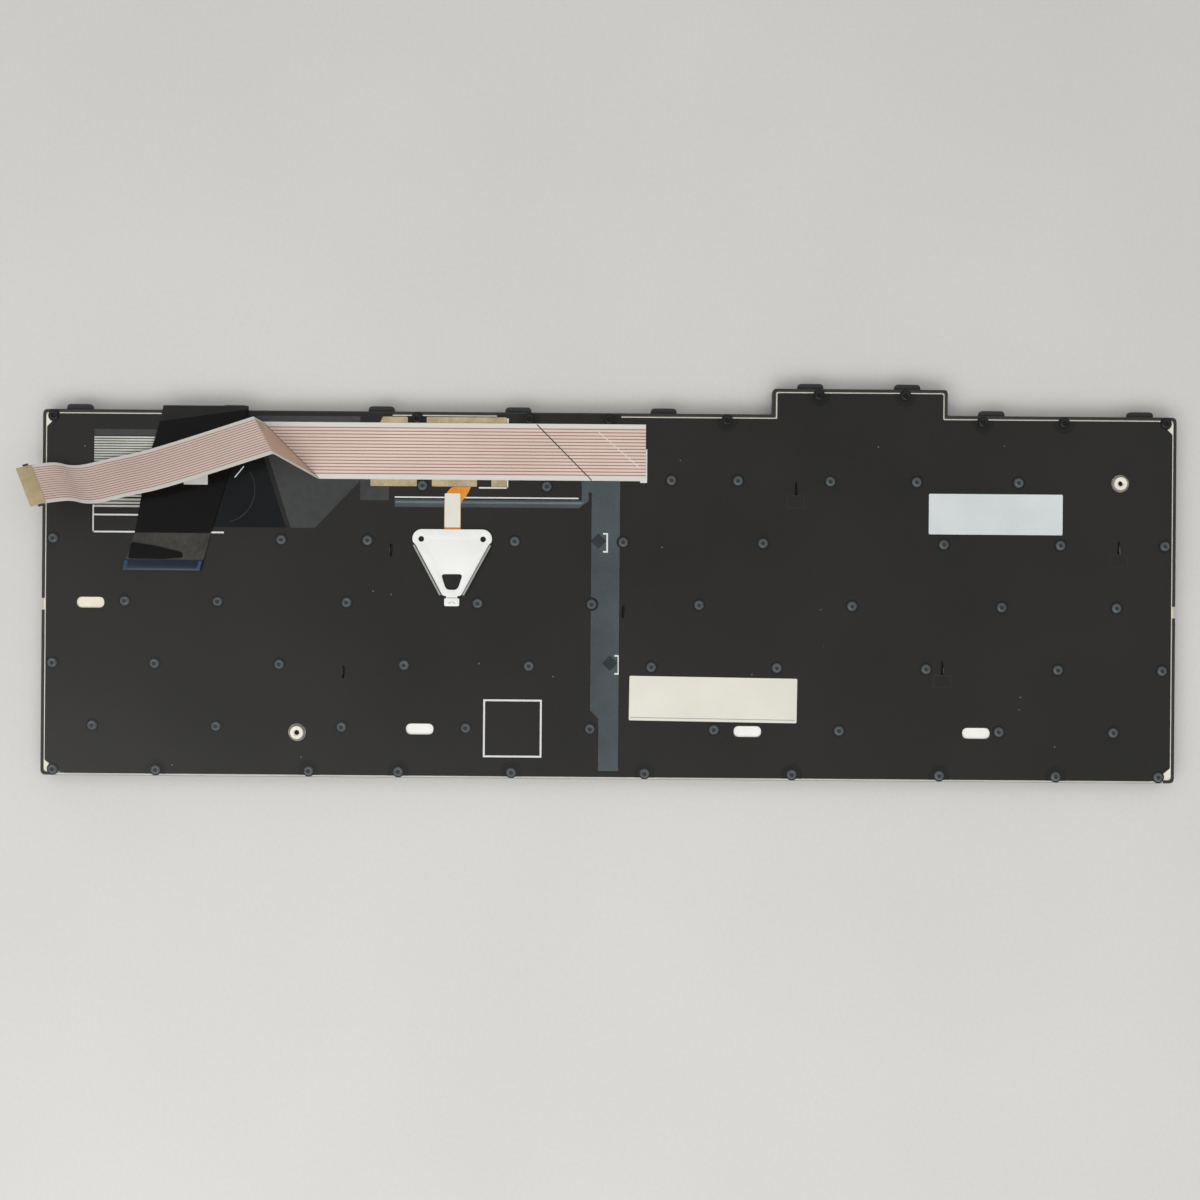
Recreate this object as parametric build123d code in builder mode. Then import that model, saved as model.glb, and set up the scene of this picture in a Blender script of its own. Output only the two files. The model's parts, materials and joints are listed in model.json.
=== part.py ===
import os
from math import atan2, degrees

from build123d import *

os.makedirs("parts", exist_ok=True)

# Key field
key_pitch = 19.05
function_row_depth = 14.05
main_block_units = 14.39
number_column_units = 0.92
arrow_column_units = 0.89
grave_units = 0.76
tab_units = 1.27
caps_units = 1.52
left_shift_units = 1.02
fn_units = 1.02
rib_width = 2.0
cap_gap = 0.5
arrow_step = 7.9

# Keycaps
key_travel = 1.5
travel_clearance = 0.5
cap_height = 2.2
cap_wall = 1.0
cap_roof = 0.8
cap_draft = 15.0
cap_front_cut = 2.6
cap_front_drop = 1.0

# Frame
frame_margin = 1.33
frame_corner = 1.2
frame_thickness = 2.6
wall_thickness = 0.5
tab_width = 8.0
tab_reach = 1.7
tab_thickness = 1.2
notch_length = 3.7
notch_y = -8.0

# Layers, from the keys to the back
layer_clearance = 0.1
membrane_thickness = 0.25
plate_thickness = 0.5
guide_thickness = 0.3
film_thickness = 0.1
plate_rim = 0.5
sheet_corner = 1.0

# Stakes and inserts
stake_radius = 1.6
stake_height = 0.7
stake_draft = 32.0
edge_stake_inset = 2.0
rear_stake_inset = 1.9
insert_diameter = 5.0
insert_bore = 1.6
insert_height = 1.2
insert_clearance = 0.2

# Dome and scissor
dome_width = 3.2
dome_draft = 12.0
link_length = 10.0
link_width = 7.0
link_thickness = 0.6
link_bar = 0.8
link_clearance = 0.2

# Pointing stick
stick_cap_diameter = 5.0
stick_cap_drop = 0.1
stick_cap_height = 2.4
stick_post = 2.0
stick_hole = 6.2
collar_wall = 0.9
stick_clearance = 0.4
sensor_size = 6.8
bracket_width = 24.1
bracket_front = 3.5
bracket_rear = 16.9
bracket_thickness = 0.5
bracket_foot = 6.6
bracket_hole = 2.4
bracket_hole_spacing = 18.9
bracket_tab_width = 4.6
bracket_tab_length = 3.1
flange_height = 0.8
flex_width = 5.0
flex_length = 13.0

# Films, labels and cables
slot_length = 8.4
slot_width = 3.3
slit_width = 1.2
slit_length = 4.3
led_width = 8.6
tape_thickness = 0.1
label_thickness = 0.1
silver_label_length = 40.9
silver_label_width = 12.4
white_label_length = 51.3
white_label_width = 13.6
white_label_turn = -0.6
flex_label_length = 10.4
cover_gap = 1.5
cable_width = 17.2
cable_thickness = 0.2
cable_front_y = 47.6
cable_start_x = 11.0
crease_front_x = -106.2
cable_lift = 12.0
tail_flex_thickness = 0.15
tail_flex_width = 26.0
tail_fold_reach = 1.4
tail_fold_height = 0.43
stiffener_thickness = 0.35

# Field lines
unit = key_pitch
field_width = (main_block_units + 4 * number_column_units) * unit
field_left = -field_width / 2
frame_depth = 2 * frame_margin + 5 * key_pitch + function_row_depth
rear_y = -(frame_depth + arrow_step + tab_reach) / 2
front_y = rear_y + frame_depth
field_front = front_y - frame_margin
row_front = []
for step in range(6):
    row_front.append(field_front - step * key_pitch)
row_front.append(row_front[5] - function_row_depth)
arrow_units = 3 * arrow_column_units
arrow_left = field_left + (main_block_units - arrow_units) * unit
arrow_right = field_left + main_block_units * unit
arrow_row = (key_pitch + arrow_step) / 2

# Heights
skirt_z = cap_height
membrane_z = cap_height + key_travel + travel_clearance
frame_z = membrane_z - frame_thickness
plate_z = membrane_z + membrane_thickness
guide_z = plate_z + plate_thickness
film_z = guide_z + guide_thickness
back_z = film_z + film_thickness
tape_z = back_z + tape_thickness

# Cells of the key field, each with its left, right, rear and front lines
letter_cells = []
function_cells = []
named_cells = {}


def column(units):
    return field_left + units * unit


def cell(start, end, row):
    return (column(start), column(end), row_front[row + 1], row_front[row])


letter_cells.append(cell(0, grave_units, 4))
for first, row in [(grave_units, 4), (tab_units, 3), (caps_units, 2)]:
    for step in range(12):
        letter_cells.append(cell(first + step, first + step + 1, row))
for step in range(11):
    letter_cells.append(cell(left_shift_units + step, left_shift_units + step + 1, 1))
for step in range(17):
    function_cells.append(cell(step * main_block_units / 17, (step + 1) * main_block_units / 17, 5))
for step in range(4):
    start = main_block_units + step * number_column_units
    function_cells.append(cell(start, start + number_column_units, 5))

named_cells["backspace"] = cell(grave_units + 12, main_block_units, 4)
named_cells["tab"] = cell(0, tab_units, 3)
named_cells["caps_lock"] = cell(0, caps_units, 2)
named_cells["left_shift"] = cell(0, left_shift_units, 1)
named_cells["right_shift"] = cell(left_shift_units + 11, main_block_units, 1)
named_cells["fn"] = cell(0, fn_units, 0)
for step, name in enumerate(["left_ctrl", "super", "left_alt"]):
    named_cells[name] = cell(fn_units + step, fn_units + step + 1, 0)
space_end = main_block_units - arrow_units - 3
named_cells["space_bar"] = cell(fn_units + 3, space_end, 0)
for step, name in enumerate(["alt_gr", "print_screen", "right_ctrl"]):
    named_cells[name] = cell(space_end + step, space_end + step + 1, 0)
arrow_mid = row_front[1] + arrow_row
arrow_front = arrow_mid + arrow_row
for step, name in enumerate(["page_up", "up_arrow", "page_down"]):
    left = arrow_left + step * arrow_column_units * unit
    named_cells[name] = (left, left + arrow_column_units * unit, row_front[1], arrow_mid)
for step, name in enumerate(["left_arrow", "down_arrow", "right_arrow"]):
    left = arrow_left + step * arrow_column_units * unit
    named_cells[name] = (left, left + arrow_column_units * unit, arrow_mid, arrow_front)

pad = []
for step in range(5):
    pad.append(main_block_units + step * number_column_units)
for step, name in enumerate(["num_lock", "pad_divide", "pad_multiply", "pad_minus"]):
    named_cells[name] = cell(pad[step], pad[step + 1], 4)
for step, name in enumerate(["pad_7", "pad_8", "pad_9"]):
    named_cells[name] = cell(pad[step], pad[step + 1], 3)
for step, name in enumerate(["pad_4", "pad_5", "pad_6"]):
    named_cells[name] = cell(pad[step], pad[step + 1], 2)
for step, name in enumerate(["pad_1", "pad_2", "pad_3"]):
    named_cells[name] = cell(pad[step], pad[step + 1], 1)
named_cells["pad_plus"] = (column(pad[3]), column(pad[4]), row_front[4], row_front[2])
named_cells["pad_enter"] = (column(pad[3]), column(pad[4]), row_front[2], row_front[0])
named_cells["pad_0"] = cell(pad[0], pad[2], 0)
named_cells["pad_point"] = cell(pad[2], pad[3], 0)

# The enter key stands on two rows
enter_upper = cell(tab_units + 12, main_block_units, 3)
enter_lower = cell(caps_units + 12, main_block_units, 2)

stick_x = column(caps_units + 5)
stick_y = row_front[2]


def middle(box):
    return ((box[0] + box[1]) / 2, (box[2] + box[3]) / 2)


# Corner points of the frame, moved inwards
def outline(inset):
    left = field_left - frame_margin + inset
    right = -left
    step_left = arrow_left - frame_margin + inset
    step_right = arrow_right + frame_margin - inset
    return [
        (left, rear_y + inset),
        (right, rear_y + inset),
        (right, front_y - inset),
        (step_right, front_y - inset),
        (step_right, front_y + arrow_step - inset),
        (step_left, front_y + arrow_step - inset),
        (step_left, front_y - inset),
        (left, front_y - inset),
    ]


# Outer corners of a sheet, without the two inner ones beside the arrow keys
def outer_corners(corners):
    return [c for c in corners if abs(c.X) > field_width * 0.45 or c.Y > front_y + arrow_step / 2]


# Keycap outline, its front corners cut back
def cap_points(width, depth):
    return [
        (-width / 2, -depth / 2),
        (width / 2, -depth / 2),
        (width / 2, depth / 2 - cap_front_drop),
        (width / 2 - cap_front_cut, depth / 2),
        (-width / 2 + cap_front_cut, depth / 2),
        (-width / 2, depth / 2 - cap_front_drop),
    ]


def cap_size(box):
    margin = rib_width + 2 * cap_gap
    return (box[1] - box[0] - margin, box[3] - box[2] - margin)


# Faces that stand upright, which the mould draft leans inwards
def upright(block):
    return block.faces().filter_by(lambda face: abs(face.normal_at().Z) < 0.1)


# Outline of the enter key, moved inwards, its front corners cut back
def enter_points(inset, cut, drop):
    upper_left = enter_upper[0] + inset
    lower_left = enter_lower[0] + inset
    right = enter_upper[1] - inset
    rear = enter_upper[2] + inset
    shoulder = enter_upper[3] - inset
    front = enter_lower[3] - inset
    points = [(upper_left, rear), (right, rear)]
    if cut:
        points += [(right, front - drop), (right - cut, front)]
        points += [(lower_left + cut, front), (lower_left, front - drop)]
    else:
        points += [(right, front), (lower_left, front)]
    return points + [(lower_left, shoulder), (upper_left, shoulder)]


# Cells of one size share one cut
def by_size(boxes, margin):
    groups = {}
    for box in boxes:
        size = (round(box[1] - box[0] - margin, 3), round(box[3] - box[2] - margin, 3))
        groups.setdefault(size, []).append(middle(box))
    return groups


# Bezel frame
frame_cells = letter_cells + function_cells + list(named_cells.values())
tab_spots = []
for units in [0.505, 3.0, 5.36, 7.56, 9.9, 15.18, 17.57]:
    tab_spots.append((column(units), front_y))
for units in [12.26, 13.82]:
    tab_spots.append((column(units), front_y + arrow_step))
collar_radius = stick_hole / 2 + collar_wall
with BuildPart() as bezel_frame:
    with BuildSketch(Plane.XY.offset(frame_z)) as grid:
        with BuildLine():
            Polyline(*outline(0), close=True)
        make_face()
        chamfer(outer_corners(grid.vertices()), frame_corner)
        for size, spots in by_size(frame_cells, rib_width).items():
            with Locations(*spots):
                Rectangle(*size, mode=Mode.SUBTRACT)
        with BuildLine():
            Polyline(*enter_points(rib_width / 2, 0, 0), close=True)
        make_face(mode=Mode.SUBTRACT)
        with Locations((stick_x, stick_y)):
            RegularPolygon(collar_radius, 8, major_radius=False)
            RegularPolygon(stick_hole / 2, 8, major_radius=False, mode=Mode.SUBTRACT)
    extrude(amount=frame_thickness)
    with BuildSketch(Plane.XY.offset(membrane_z)) as wall:
        with BuildLine():
            Polyline(*outline(0), close=True)
        make_face()
        chamfer(outer_corners(wall.vertices()), frame_corner)
        with BuildLine():
            Polyline(*outline(wall_thickness), close=True)
        make_face(mode=Mode.SUBTRACT)
        for side in (-1, 1):
            with Locations((side * (field_width / 2 + frame_margin), notch_y)):
                Rectangle(2.4 * wall_thickness, notch_length, mode=Mode.SUBTRACT)
    extrude(amount=membrane_thickness + plate_thickness)
    with BuildSketch(Plane.XY.offset(membrane_z - tab_thickness)) as tabs:
        with Locations(*tab_spots):
            Rectangle(tab_width, 2 * tab_reach)
    extrude(amount=tab_thickness)
bezel_frame.part.label = "bezel_frame"
export_step(bezel_frame.part, "parts/bezel_frame.step")

# A key of the letter block or function row, its cap fused to its dome
skirt_plane = Plane.XY.offset(skirt_z)
dome_height = membrane_z - skirt_z


def fixed_key(points):
    with BuildPart() as key:
        with BuildSketch(skirt_plane):
            Polygon(*points, align=None)
        extrude(amount=-cap_height)
        draft(upright(key), skirt_plane, -cap_draft)
        with BuildSketch(skirt_plane):
            Rectangle(dome_width, dome_width)
        extrude(amount=dome_height)
    return key.part


# Letter and digit keys, three of them cut out round the stick
letter_groups = by_size(letter_cells, rib_width + 2 * cap_gap)
letter_forms = {}
for size in letter_groups:
    letter_forms[size] = fixed_key(cap_points(*size))
with BuildPart() as letter_keys:
    for size, spots in letter_groups.items():
        with Locations(*spots):
            add(letter_forms[size])
    with BuildSketch() as stick_room:
        with Locations((stick_x, stick_y)):
            RegularPolygon(collar_radius + stick_clearance, 8, major_radius=False)
    extrude(amount=skirt_z, mode=Mode.SUBTRACT)
letter_keys.part.label = "letter_keys"
export_step(letter_keys.part, "parts/letter_keys.step")

# Function row keys
function_groups = by_size(function_cells, rib_width + 2 * cap_gap)
function_forms = {}
for size in function_groups:
    width, depth = size
    rear_corners = [(-width / 2, -depth / 2), (width / 2, -depth / 2)]
    front_corners = [(width / 2, depth / 2), (-width / 2, depth / 2)]
    function_forms[size] = fixed_key(rear_corners + front_corners)
with BuildPart() as function_keys:
    for size, spots in function_groups.items():
        with Locations(*spots):
            add(function_forms[size])
function_keys.part.label = "function_keys"
export_step(function_keys.part, "parts/function_keys.step")

# Keys with a travel of their own, hollow under the cap
for name, box in named_cells.items():
    width, depth = cap_size(box)
    with BuildPart() as key:
        with BuildSketch(skirt_plane):
            with Locations(middle(box)):
                Polygon(*cap_points(width, depth), align=None)
        extrude(amount=-cap_height)
        draft(upright(key), skirt_plane, -cap_draft)
        with BuildSketch(skirt_plane):
            with Locations(middle(box)):
                Rectangle(width - 2 * cap_wall, depth - 2 * (cap_wall + cap_front_drop * 0.6))
        extrude(amount=cap_roof - cap_height, mode=Mode.SUBTRACT)
    key.part.label = name
    export_step(key.part, f"parts/{name}.step")

# Enter key
enter_inset = rib_width / 2 + cap_gap
cavity_inset = enter_inset + cap_wall + cap_front_drop * 0.6
with BuildPart() as enter_key:
    with BuildSketch(skirt_plane):
        with BuildLine():
            Polyline(*enter_points(enter_inset, cap_front_cut, cap_front_drop), close=True)
        make_face()
    extrude(amount=-cap_height)
    draft(upright(enter_key), skirt_plane, -cap_draft)
    with BuildSketch(skirt_plane):
        with BuildLine():
            Polyline(*enter_points(cavity_inset, 0, 0), close=True)
        make_face()
    extrude(amount=cap_roof - cap_height, mode=Mode.SUBTRACT)
enter_key.part.label = "enter_key"
export_step(enter_key.part, "parts/enter_key.step")

# Rubber domes under the keys that travel
key_spots = []
for box in named_cells.values():
    key_spots.append(middle(box))
key_spots.append(((enter_lower[0] + enter_lower[1]) / 2, row_front[3]))
with BuildPart() as dome:
    with BuildSketch(Plane.XY.offset(membrane_z)):
        Rectangle(dome_width, dome_width)
    extrude(amount=cap_roof - membrane_z)
    draft(upright(dome), Plane.XY.offset(membrane_z), -dome_draft)
with BuildPart() as rubber_domes:
    with Locations(*key_spots):
        add(dome.part)
rubber_domes.part.label = "rubber_domes"
export_step(rubber_domes.part, "parts/rubber_domes.step")

# Scissor links, an inner fork that crosses an outer one
link_room = membrane_z - cap_roof - 2 * link_clearance
link_tilt = degrees(atan2(link_room - link_thickness, link_length))
outer_planes = []
inner_planes = []
for x, y in key_spots:
    centre = (x, y, (membrane_z + cap_roof) / 2)
    outer_planes.append(Plane(centre).rotated((0, link_tilt, 0)))
    inner_planes.append(Plane(centre).rotated((0, -link_tilt, 0)))
inner_width = link_width - 2 * link_bar - 2 * link_clearance
with BuildPart() as scissor_links:
    with BuildSketch(*outer_planes) as outer:
        Rectangle(link_length, link_width)
        with Locations((link_bar, 0)):
            Rectangle(link_length, link_width - 2 * link_bar, mode=Mode.SUBTRACT)
    extrude(amount=link_thickness / 2, both=True)
    with BuildSketch(*inner_planes) as inner:
        Rectangle(link_length, inner_width)
        with Locations((link_bar, 0)):
            Rectangle(link_length, inner_width - 2 * link_bar, mode=Mode.SUBTRACT)
    extrude(amount=link_thickness / 2, both=True)
scissor_links.part.label = "scissor_links"
export_step(scissor_links.part, "parts/scissor_links.step")

# Places on the back
edge_stake_y = front_y - edge_stake_inset
rear_stake_y = rear_y + rear_stake_inset
stake_rows = [
    (edge_stake_y, [0.113, 5.943, 7.742, 9.026, 10.919, 15.023, 16.327, 17.96]),
    (edge_stake_y + arrow_step, [12.39, 13.777]),
    (row_front[1] - 2.2, [6.036, 8.03]),
    (row_front[1], [10.03, 11.1, 12.583, 13.969, 15.605]),
    (row_front[2], [0.113, 3.773, 5.158, 7.523, 9.265, 11.508, 14.413, 16.285, 17.96]),
    (row_front[3], [1.268, 2.76, 4.83, 6.934, 8.763, 10.49, 12.948, 15.348, 17.192]),
    (row_front[4], [0.113, 1.753, 3.756, 5.76, 7.765, 9.729, 11.745, 14.141, 16.257, 17.93]),
    (row_front[5], [0.761, 2.748, 4.763, 6.756, 8.753, 10.742, 12.75, 15.316, 17.153]),
    (rear_stake_y, [0.133, 1.785, 4.242, 5.679, 7.494, 9.634, 11.996, 14.363, 16.233, 17.88]),
]
stake_spots = []
for y, columns in stake_rows:
    for units in columns:
        stake_spots.append((column(units), y))
slot_spots = [(column(0.72), row_front[3] - 0.6)]
for units in [6.02, 11.28, 14.95]:
    slot_spots.append((column(units), row_front[5] - 0.5))
slit_spots = [
    (column(5.54), row_front[2] - 3.0),
    (column(4.79), row_front[4] - 2.3),
    (column(9.27), row_front[3] - 2.3),
    (column(12.03), row_front[1] - 2.3),
    (column(14.4), row_front[4] + 0.3),
    (column(17.22), row_front[2] - 0.6),
]
insert_spots = [(column(17.235), row_front[1]), (column(4.05), row_front[5] - 1.8)]
led_x = column(8.98)
led_front = cable_front_y - cable_width - layer_clearance
led_rear = rear_y + 2.5
branch_left = column(5.59)
branch_y = row_front[1] - 7.6
branch_width = 2.9
fold_left = column(1.87)
fold_y = front_y + 0.4
under_left = column(2.48)
under_y = row_front[2] + 3.6

# Switch membrane
sheet_inset = wall_thickness + layer_clearance
with BuildPart() as switch_membrane:
    with BuildSketch(Plane.XY.offset(membrane_z)) as sheet:
        with BuildLine():
            Polyline(*outline(sheet_inset), close=True)
        make_face()
        chamfer(outer_corners(sheet.vertices()), sheet_corner)
        with Locations((stick_x, stick_y)):
            Rectangle(stick_hole, stick_hole, mode=Mode.SUBTRACT)
    extrude(amount=membrane_thickness)
switch_membrane.part.label = "switch_membrane"
export_step(switch_membrane.part, "parts/switch_membrane.step")

# Base plate, slit where its tongues are lanced
with BuildPart() as base_plate:
    with BuildSketch(Plane.XY.offset(plate_z)) as sheet:
        with BuildLine():
            Polyline(*outline(sheet_inset), close=True)
        make_face()
        chamfer(outer_corners(sheet.vertices()), sheet_corner)
        with Locations((stick_x, stick_y)):
            Rectangle(stick_hole, stick_hole, mode=Mode.SUBTRACT)
        with Locations(*slit_spots):
            Rectangle(slit_width, slit_length, mode=Mode.SUBTRACT)
    extrude(amount=plate_thickness)
base_plate.part.label = "base_plate"
export_step(base_plate.part, "parts/base_plate.step")

# Light guide, open at the slots, slits, inserts and stick
insert_room = insert_diameter / 2 + insert_clearance
sensor_room = sensor_size + 2 * layer_clearance
with BuildPart() as light_guide:
    with BuildSketch(Plane.XY.offset(guide_z)) as sheet:
        with BuildLine():
            Polyline(*outline(sheet_inset + plate_rim), close=True)
        make_face()
        chamfer(outer_corners(sheet.vertices()), sheet_corner)
        with Locations((stick_x, stick_y)):
            Rectangle(sensor_room, sensor_room, mode=Mode.SUBTRACT)
        with Locations(*slit_spots):
            Rectangle(slit_width, slit_length, mode=Mode.SUBTRACT)
        with Locations(*slot_spots):
            Rectangle(slot_length, slot_width, mode=Mode.SUBTRACT)
        with Locations(*insert_spots):
            Rectangle(2 * insert_room, 2 * insert_room, mode=Mode.SUBTRACT)
    extrude(amount=guide_thickness)
light_guide.part.label = "light_guide"
export_step(light_guide.part, "parts/light_guide.step")


# Strip of lights with its side branch, moved inwards
def led_points(inset):
    left = led_x - led_width / 2 + inset
    right = led_x + led_width / 2 - inset
    step = led_width * 0.3
    jog = row_front[5] + 3.0
    return [
        (left + step, led_rear + inset),
        (right, led_rear + inset),
        (right, led_front - inset),
        (left, led_front - inset),
        (left, branch_y + branch_width / 2 - inset),
        (branch_left + inset, branch_y + branch_width / 2 - inset),
        (branch_left + inset, branch_y - branch_width / 2 + inset),
        (left, branch_y - branch_width / 2 + inset),
        (left, jog + step),
        (left + step, jog),
    ]


# Light-shield film
with BuildPart() as light_shield_film:
    with BuildSketch(Plane.XY.offset(film_z)) as sheet:
        with BuildLine():
            Polyline(*outline(sheet_inset + plate_rim), close=True)
        make_face()
        chamfer(outer_corners(sheet.vertices()), sheet_corner)
        with Locations((stick_x, stick_y)):
            Rectangle(sensor_room, sensor_room, mode=Mode.SUBTRACT)
        with Locations(*slit_spots):
            Rectangle(slit_width, slit_length, mode=Mode.SUBTRACT)
        with Locations(*slot_spots):
            Rectangle(slot_length, slot_width, mode=Mode.SUBTRACT)
        with Locations(*insert_spots):
            RegularPolygon(insert_room, 8, major_radius=False, mode=Mode.SUBTRACT)
        with BuildLine():
            Polyline(*led_points(0), close=True)
        make_face(mode=Mode.SUBTRACT)
    extrude(amount=film_thickness)
light_shield_film.part.label = "light_shield_film"
export_step(light_shield_film.part, "parts/light_shield_film.step")

# LED strip
with BuildPart() as led_strip:
    with BuildSketch(Plane.XY.offset(film_z)) as strip:
        with BuildLine():
            Polyline(*led_points(layer_clearance), close=True)
        make_face()
    extrude(amount=film_thickness)
led_strip.part.label = "led_strip"
export_step(led_strip.part, "parts/led_strip.step")

# Stake heads
with BuildPart() as stake_heads:
    with BuildSketch(Plane.XY.offset(back_z)) as feet:
        with Locations(*stake_spots):
            RegularPolygon(stake_radius, 6)
    extrude(amount=stake_height, taper=stake_draft)
stake_heads.part.label = "stake_heads"
export_step(stake_heads.part, "parts/stake_heads.step")

# Threaded inserts
with BuildPart() as threaded_inserts:
    with BuildSketch(Plane.XY.offset(guide_z)) as rings:
        with Locations(*insert_spots):
            RegularPolygon(insert_diameter / 2, 12)
            Circle(insert_bore / 2, mode=Mode.SUBTRACT)
    extrude(amount=insert_height)
threaded_inserts.part.label = "threaded_inserts"
export_step(threaded_inserts.part, "parts/threaded_inserts.step")

# Pointing stick: sensor, cap, bracket and flex
flex_z = back_z
with BuildPart() as stick_sensor:
    with BuildSketch(Plane.XY.offset(guide_z)) as ceramic:
        with Locations((stick_x, stick_y)):
            Rectangle(sensor_size, sensor_size)
    extrude(amount=guide_thickness + film_thickness)
    with BuildSketch(Plane.XY.offset(guide_z)) as post:
        with Locations((stick_x, stick_y)):
            Rectangle(stick_post, stick_post)
    extrude(amount=stick_cap_drop + 1.0 - guide_z)
stick_sensor.part.label = "stick_sensor"
export_step(stick_sensor.part, "parts/stick_sensor.step")

with BuildPart() as stick_cap:
    with BuildSketch(Plane.XY.offset(stick_cap_drop)) as disc:
        with Locations((stick_x, stick_y)):
            RegularPolygon(stick_cap_diameter / 2, 8)
    extrude(amount=stick_cap_height)
    chamfer(stick_cap.edges().group_by(Axis.Z)[0], 0.5)
    with BuildSketch(Plane.XY.offset(stick_cap_drop + 1.0)) as socket:
        with Locations((stick_x, stick_y)):
            Rectangle(stick_post, stick_post)
    extrude(amount=stick_cap_height, mode=Mode.SUBTRACT)
stick_cap.part.label = "stick_cap"
export_step(stick_cap.part, "parts/stick_cap.step")

bracket_z = flex_z + film_thickness
wing = bracket_width / 2
foot = bracket_foot / 2
front = stick_y + bracket_front
rear = stick_y - bracket_rear
with BuildPart() as stick_bracket:
    with BuildSketch(Plane.XY.offset(bracket_z)) as plate:
        with BuildLine():
            Polyline(
                (stick_x - foot, rear),
                (stick_x - bracket_tab_width / 2, rear),
                (stick_x - bracket_tab_width / 2, rear - bracket_tab_length),
                (stick_x + bracket_tab_width / 2, rear - bracket_tab_length),
                (stick_x + bracket_tab_width / 2, rear),
                (stick_x + foot, rear),
                (stick_x + wing, front - 5.5),
                (stick_x + wing, front - 1.2),
                (stick_x + wing - 1.2, front),
                (stick_x - wing + 1.2, front),
                (stick_x - wing, front - 1.2),
                (stick_x - wing, front - 5.5),
                close=True,
            )
        make_face()
        with Locations((stick_x, front - 3.0)):
            with GridLocations(bracket_hole_spacing, 1, 2, 1):
                RegularPolygon(bracket_hole / 2, 8, major_radius=False, mode=Mode.SUBTRACT)
        with BuildLine():
            Polyline(
                (stick_x - 1.75, rear + 1.9),
                (stick_x + 1.75, rear + 1.9),
                (stick_x + 3.35, rear + 6.7),
                (stick_x - 3.35, rear + 6.7),
                close=True,
            )
        make_face(mode=Mode.SUBTRACT)
    extrude(amount=bracket_thickness)
    with BuildSketch(Plane.XY.offset(bracket_z + bracket_thickness)) as flanges:
        for side in (-1, 1):
            with BuildLine():
                Polyline(
                    (stick_x + side * foot, rear),
                    (stick_x + side * wing, front - 5.5),
                    (stick_x + side * (wing - bracket_thickness), front - 5.5),
                    (stick_x + side * (foot - bracket_thickness), rear),
                    close=True,
                )
            make_face()
    extrude(amount=flange_height)
stick_bracket.part.label = "stick_bracket"
export_step(stick_bracket.part, "parts/stick_bracket.step")

with BuildPart() as stick_flex:
    with BuildSketch(Plane.XY.offset(flex_z)) as strip:
        with Locations((stick_x, stick_y)):
            Rectangle(flex_width, bracket_front + flex_length, align=(Align.CENTER, Align.MIN))
    extrude(amount=film_thickness)
stick_flex.part.label = "stick_flex"
export_step(stick_flex.part, "parts/stick_flex.step")

# Tan tape pad, cut out round two stakes
pad_left = column(5.2)
pad_right = column(7.42)
pad_front = front_y - 1.6
pad_rear = stick_y + bracket_front + flex_length + layer_clearance
with BuildPart() as tape_pad:
    with BuildSketch(Plane.XY.offset(back_z)) as patch:
        with Locations(((pad_left + pad_right) / 2, (pad_front + pad_rear) / 2)):
            Rectangle(pad_right - pad_left, pad_front - pad_rear)
        with Locations((column(5.943), edge_stake_y), (column(6.036), row_front[1] - 2.2)):
            Rectangle(3.6 * stake_radius, 2.6 * stake_radius, mode=Mode.SUBTRACT)
        with Locations((column(6.98), pad_rear)):
            Rectangle(3.4, 4.8, mode=Mode.SUBTRACT)
    extrude(amount=tape_thickness)
tape_pad.part.label = "tape_pad"
export_step(tape_pad.part, "parts/tape_pad.step")



# Right edge of the backlight flex's under layer
def flex_edge(y):
    lean = (fold_left - under_left) / (fold_y - under_y)
    return under_left + tail_flex_width + lean * (y - under_y)


# Grey cover tape, which keeps clear of the backlight flex
with BuildPart() as cover_tape:
    with BuildSketch(Plane.XY.offset(back_z)) as patch:
        with BuildLine():
            Polyline(
                (flex_edge(under_y) + cover_gap, under_y),
                (flex_edge(under_y) + cover_gap + 7.4, under_y),
                (column(5.03), 29.8),
                (column(5.03), pad_front),
                (flex_edge(pad_front) + cover_gap, pad_front),
                close=True,
            )
        make_face()
    extrude(amount=tape_thickness * 0.8)
cover_tape.part.label = "cover_tape"
export_step(cover_tape.part, "parts/cover_tape.step")

# Blank labels
with BuildPart() as blank_labels:
    with BuildSketch(Plane.XY.offset(back_z)) as stickers:
        with Locations((column(15.24), (row_front[1] + row_front[2]) / 2 - 0.2)):
            Rectangle(silver_label_length, silver_label_width)
        with Locations((column(10.725), (row_front[4] + row_front[5]) / 2 - 0.3)):
            Rectangle(white_label_length, white_label_width, rotation=white_label_turn)
    extrude(amount=label_thickness)
    with BuildSketch(Plane.XY.offset(flex_z + film_thickness)) as flex_sticker:
        with Locations((stick_x, stick_y + bracket_front + 5.8)):
            Rectangle(flex_width - 0.2, flex_label_length)
    extrude(amount=label_thickness)
blank_labels.part.label = "blank_labels"
export_step(blank_labels.part, "parts/blank_labels.step")


# Plane of one flat facet of a band, with the facet's corners on it
def facet(near, far):
    across = near[1] - near[0]
    ahead = far[1] - near[1]
    plane = Plane(near[0], x_dir=across, z_dir=ahead.cross(across))
    corners = []
    for point in (near[0], near[1], far[1], far[0]):
        corners.append(plane.to_local_coords(point))
    return plane, corners


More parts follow.
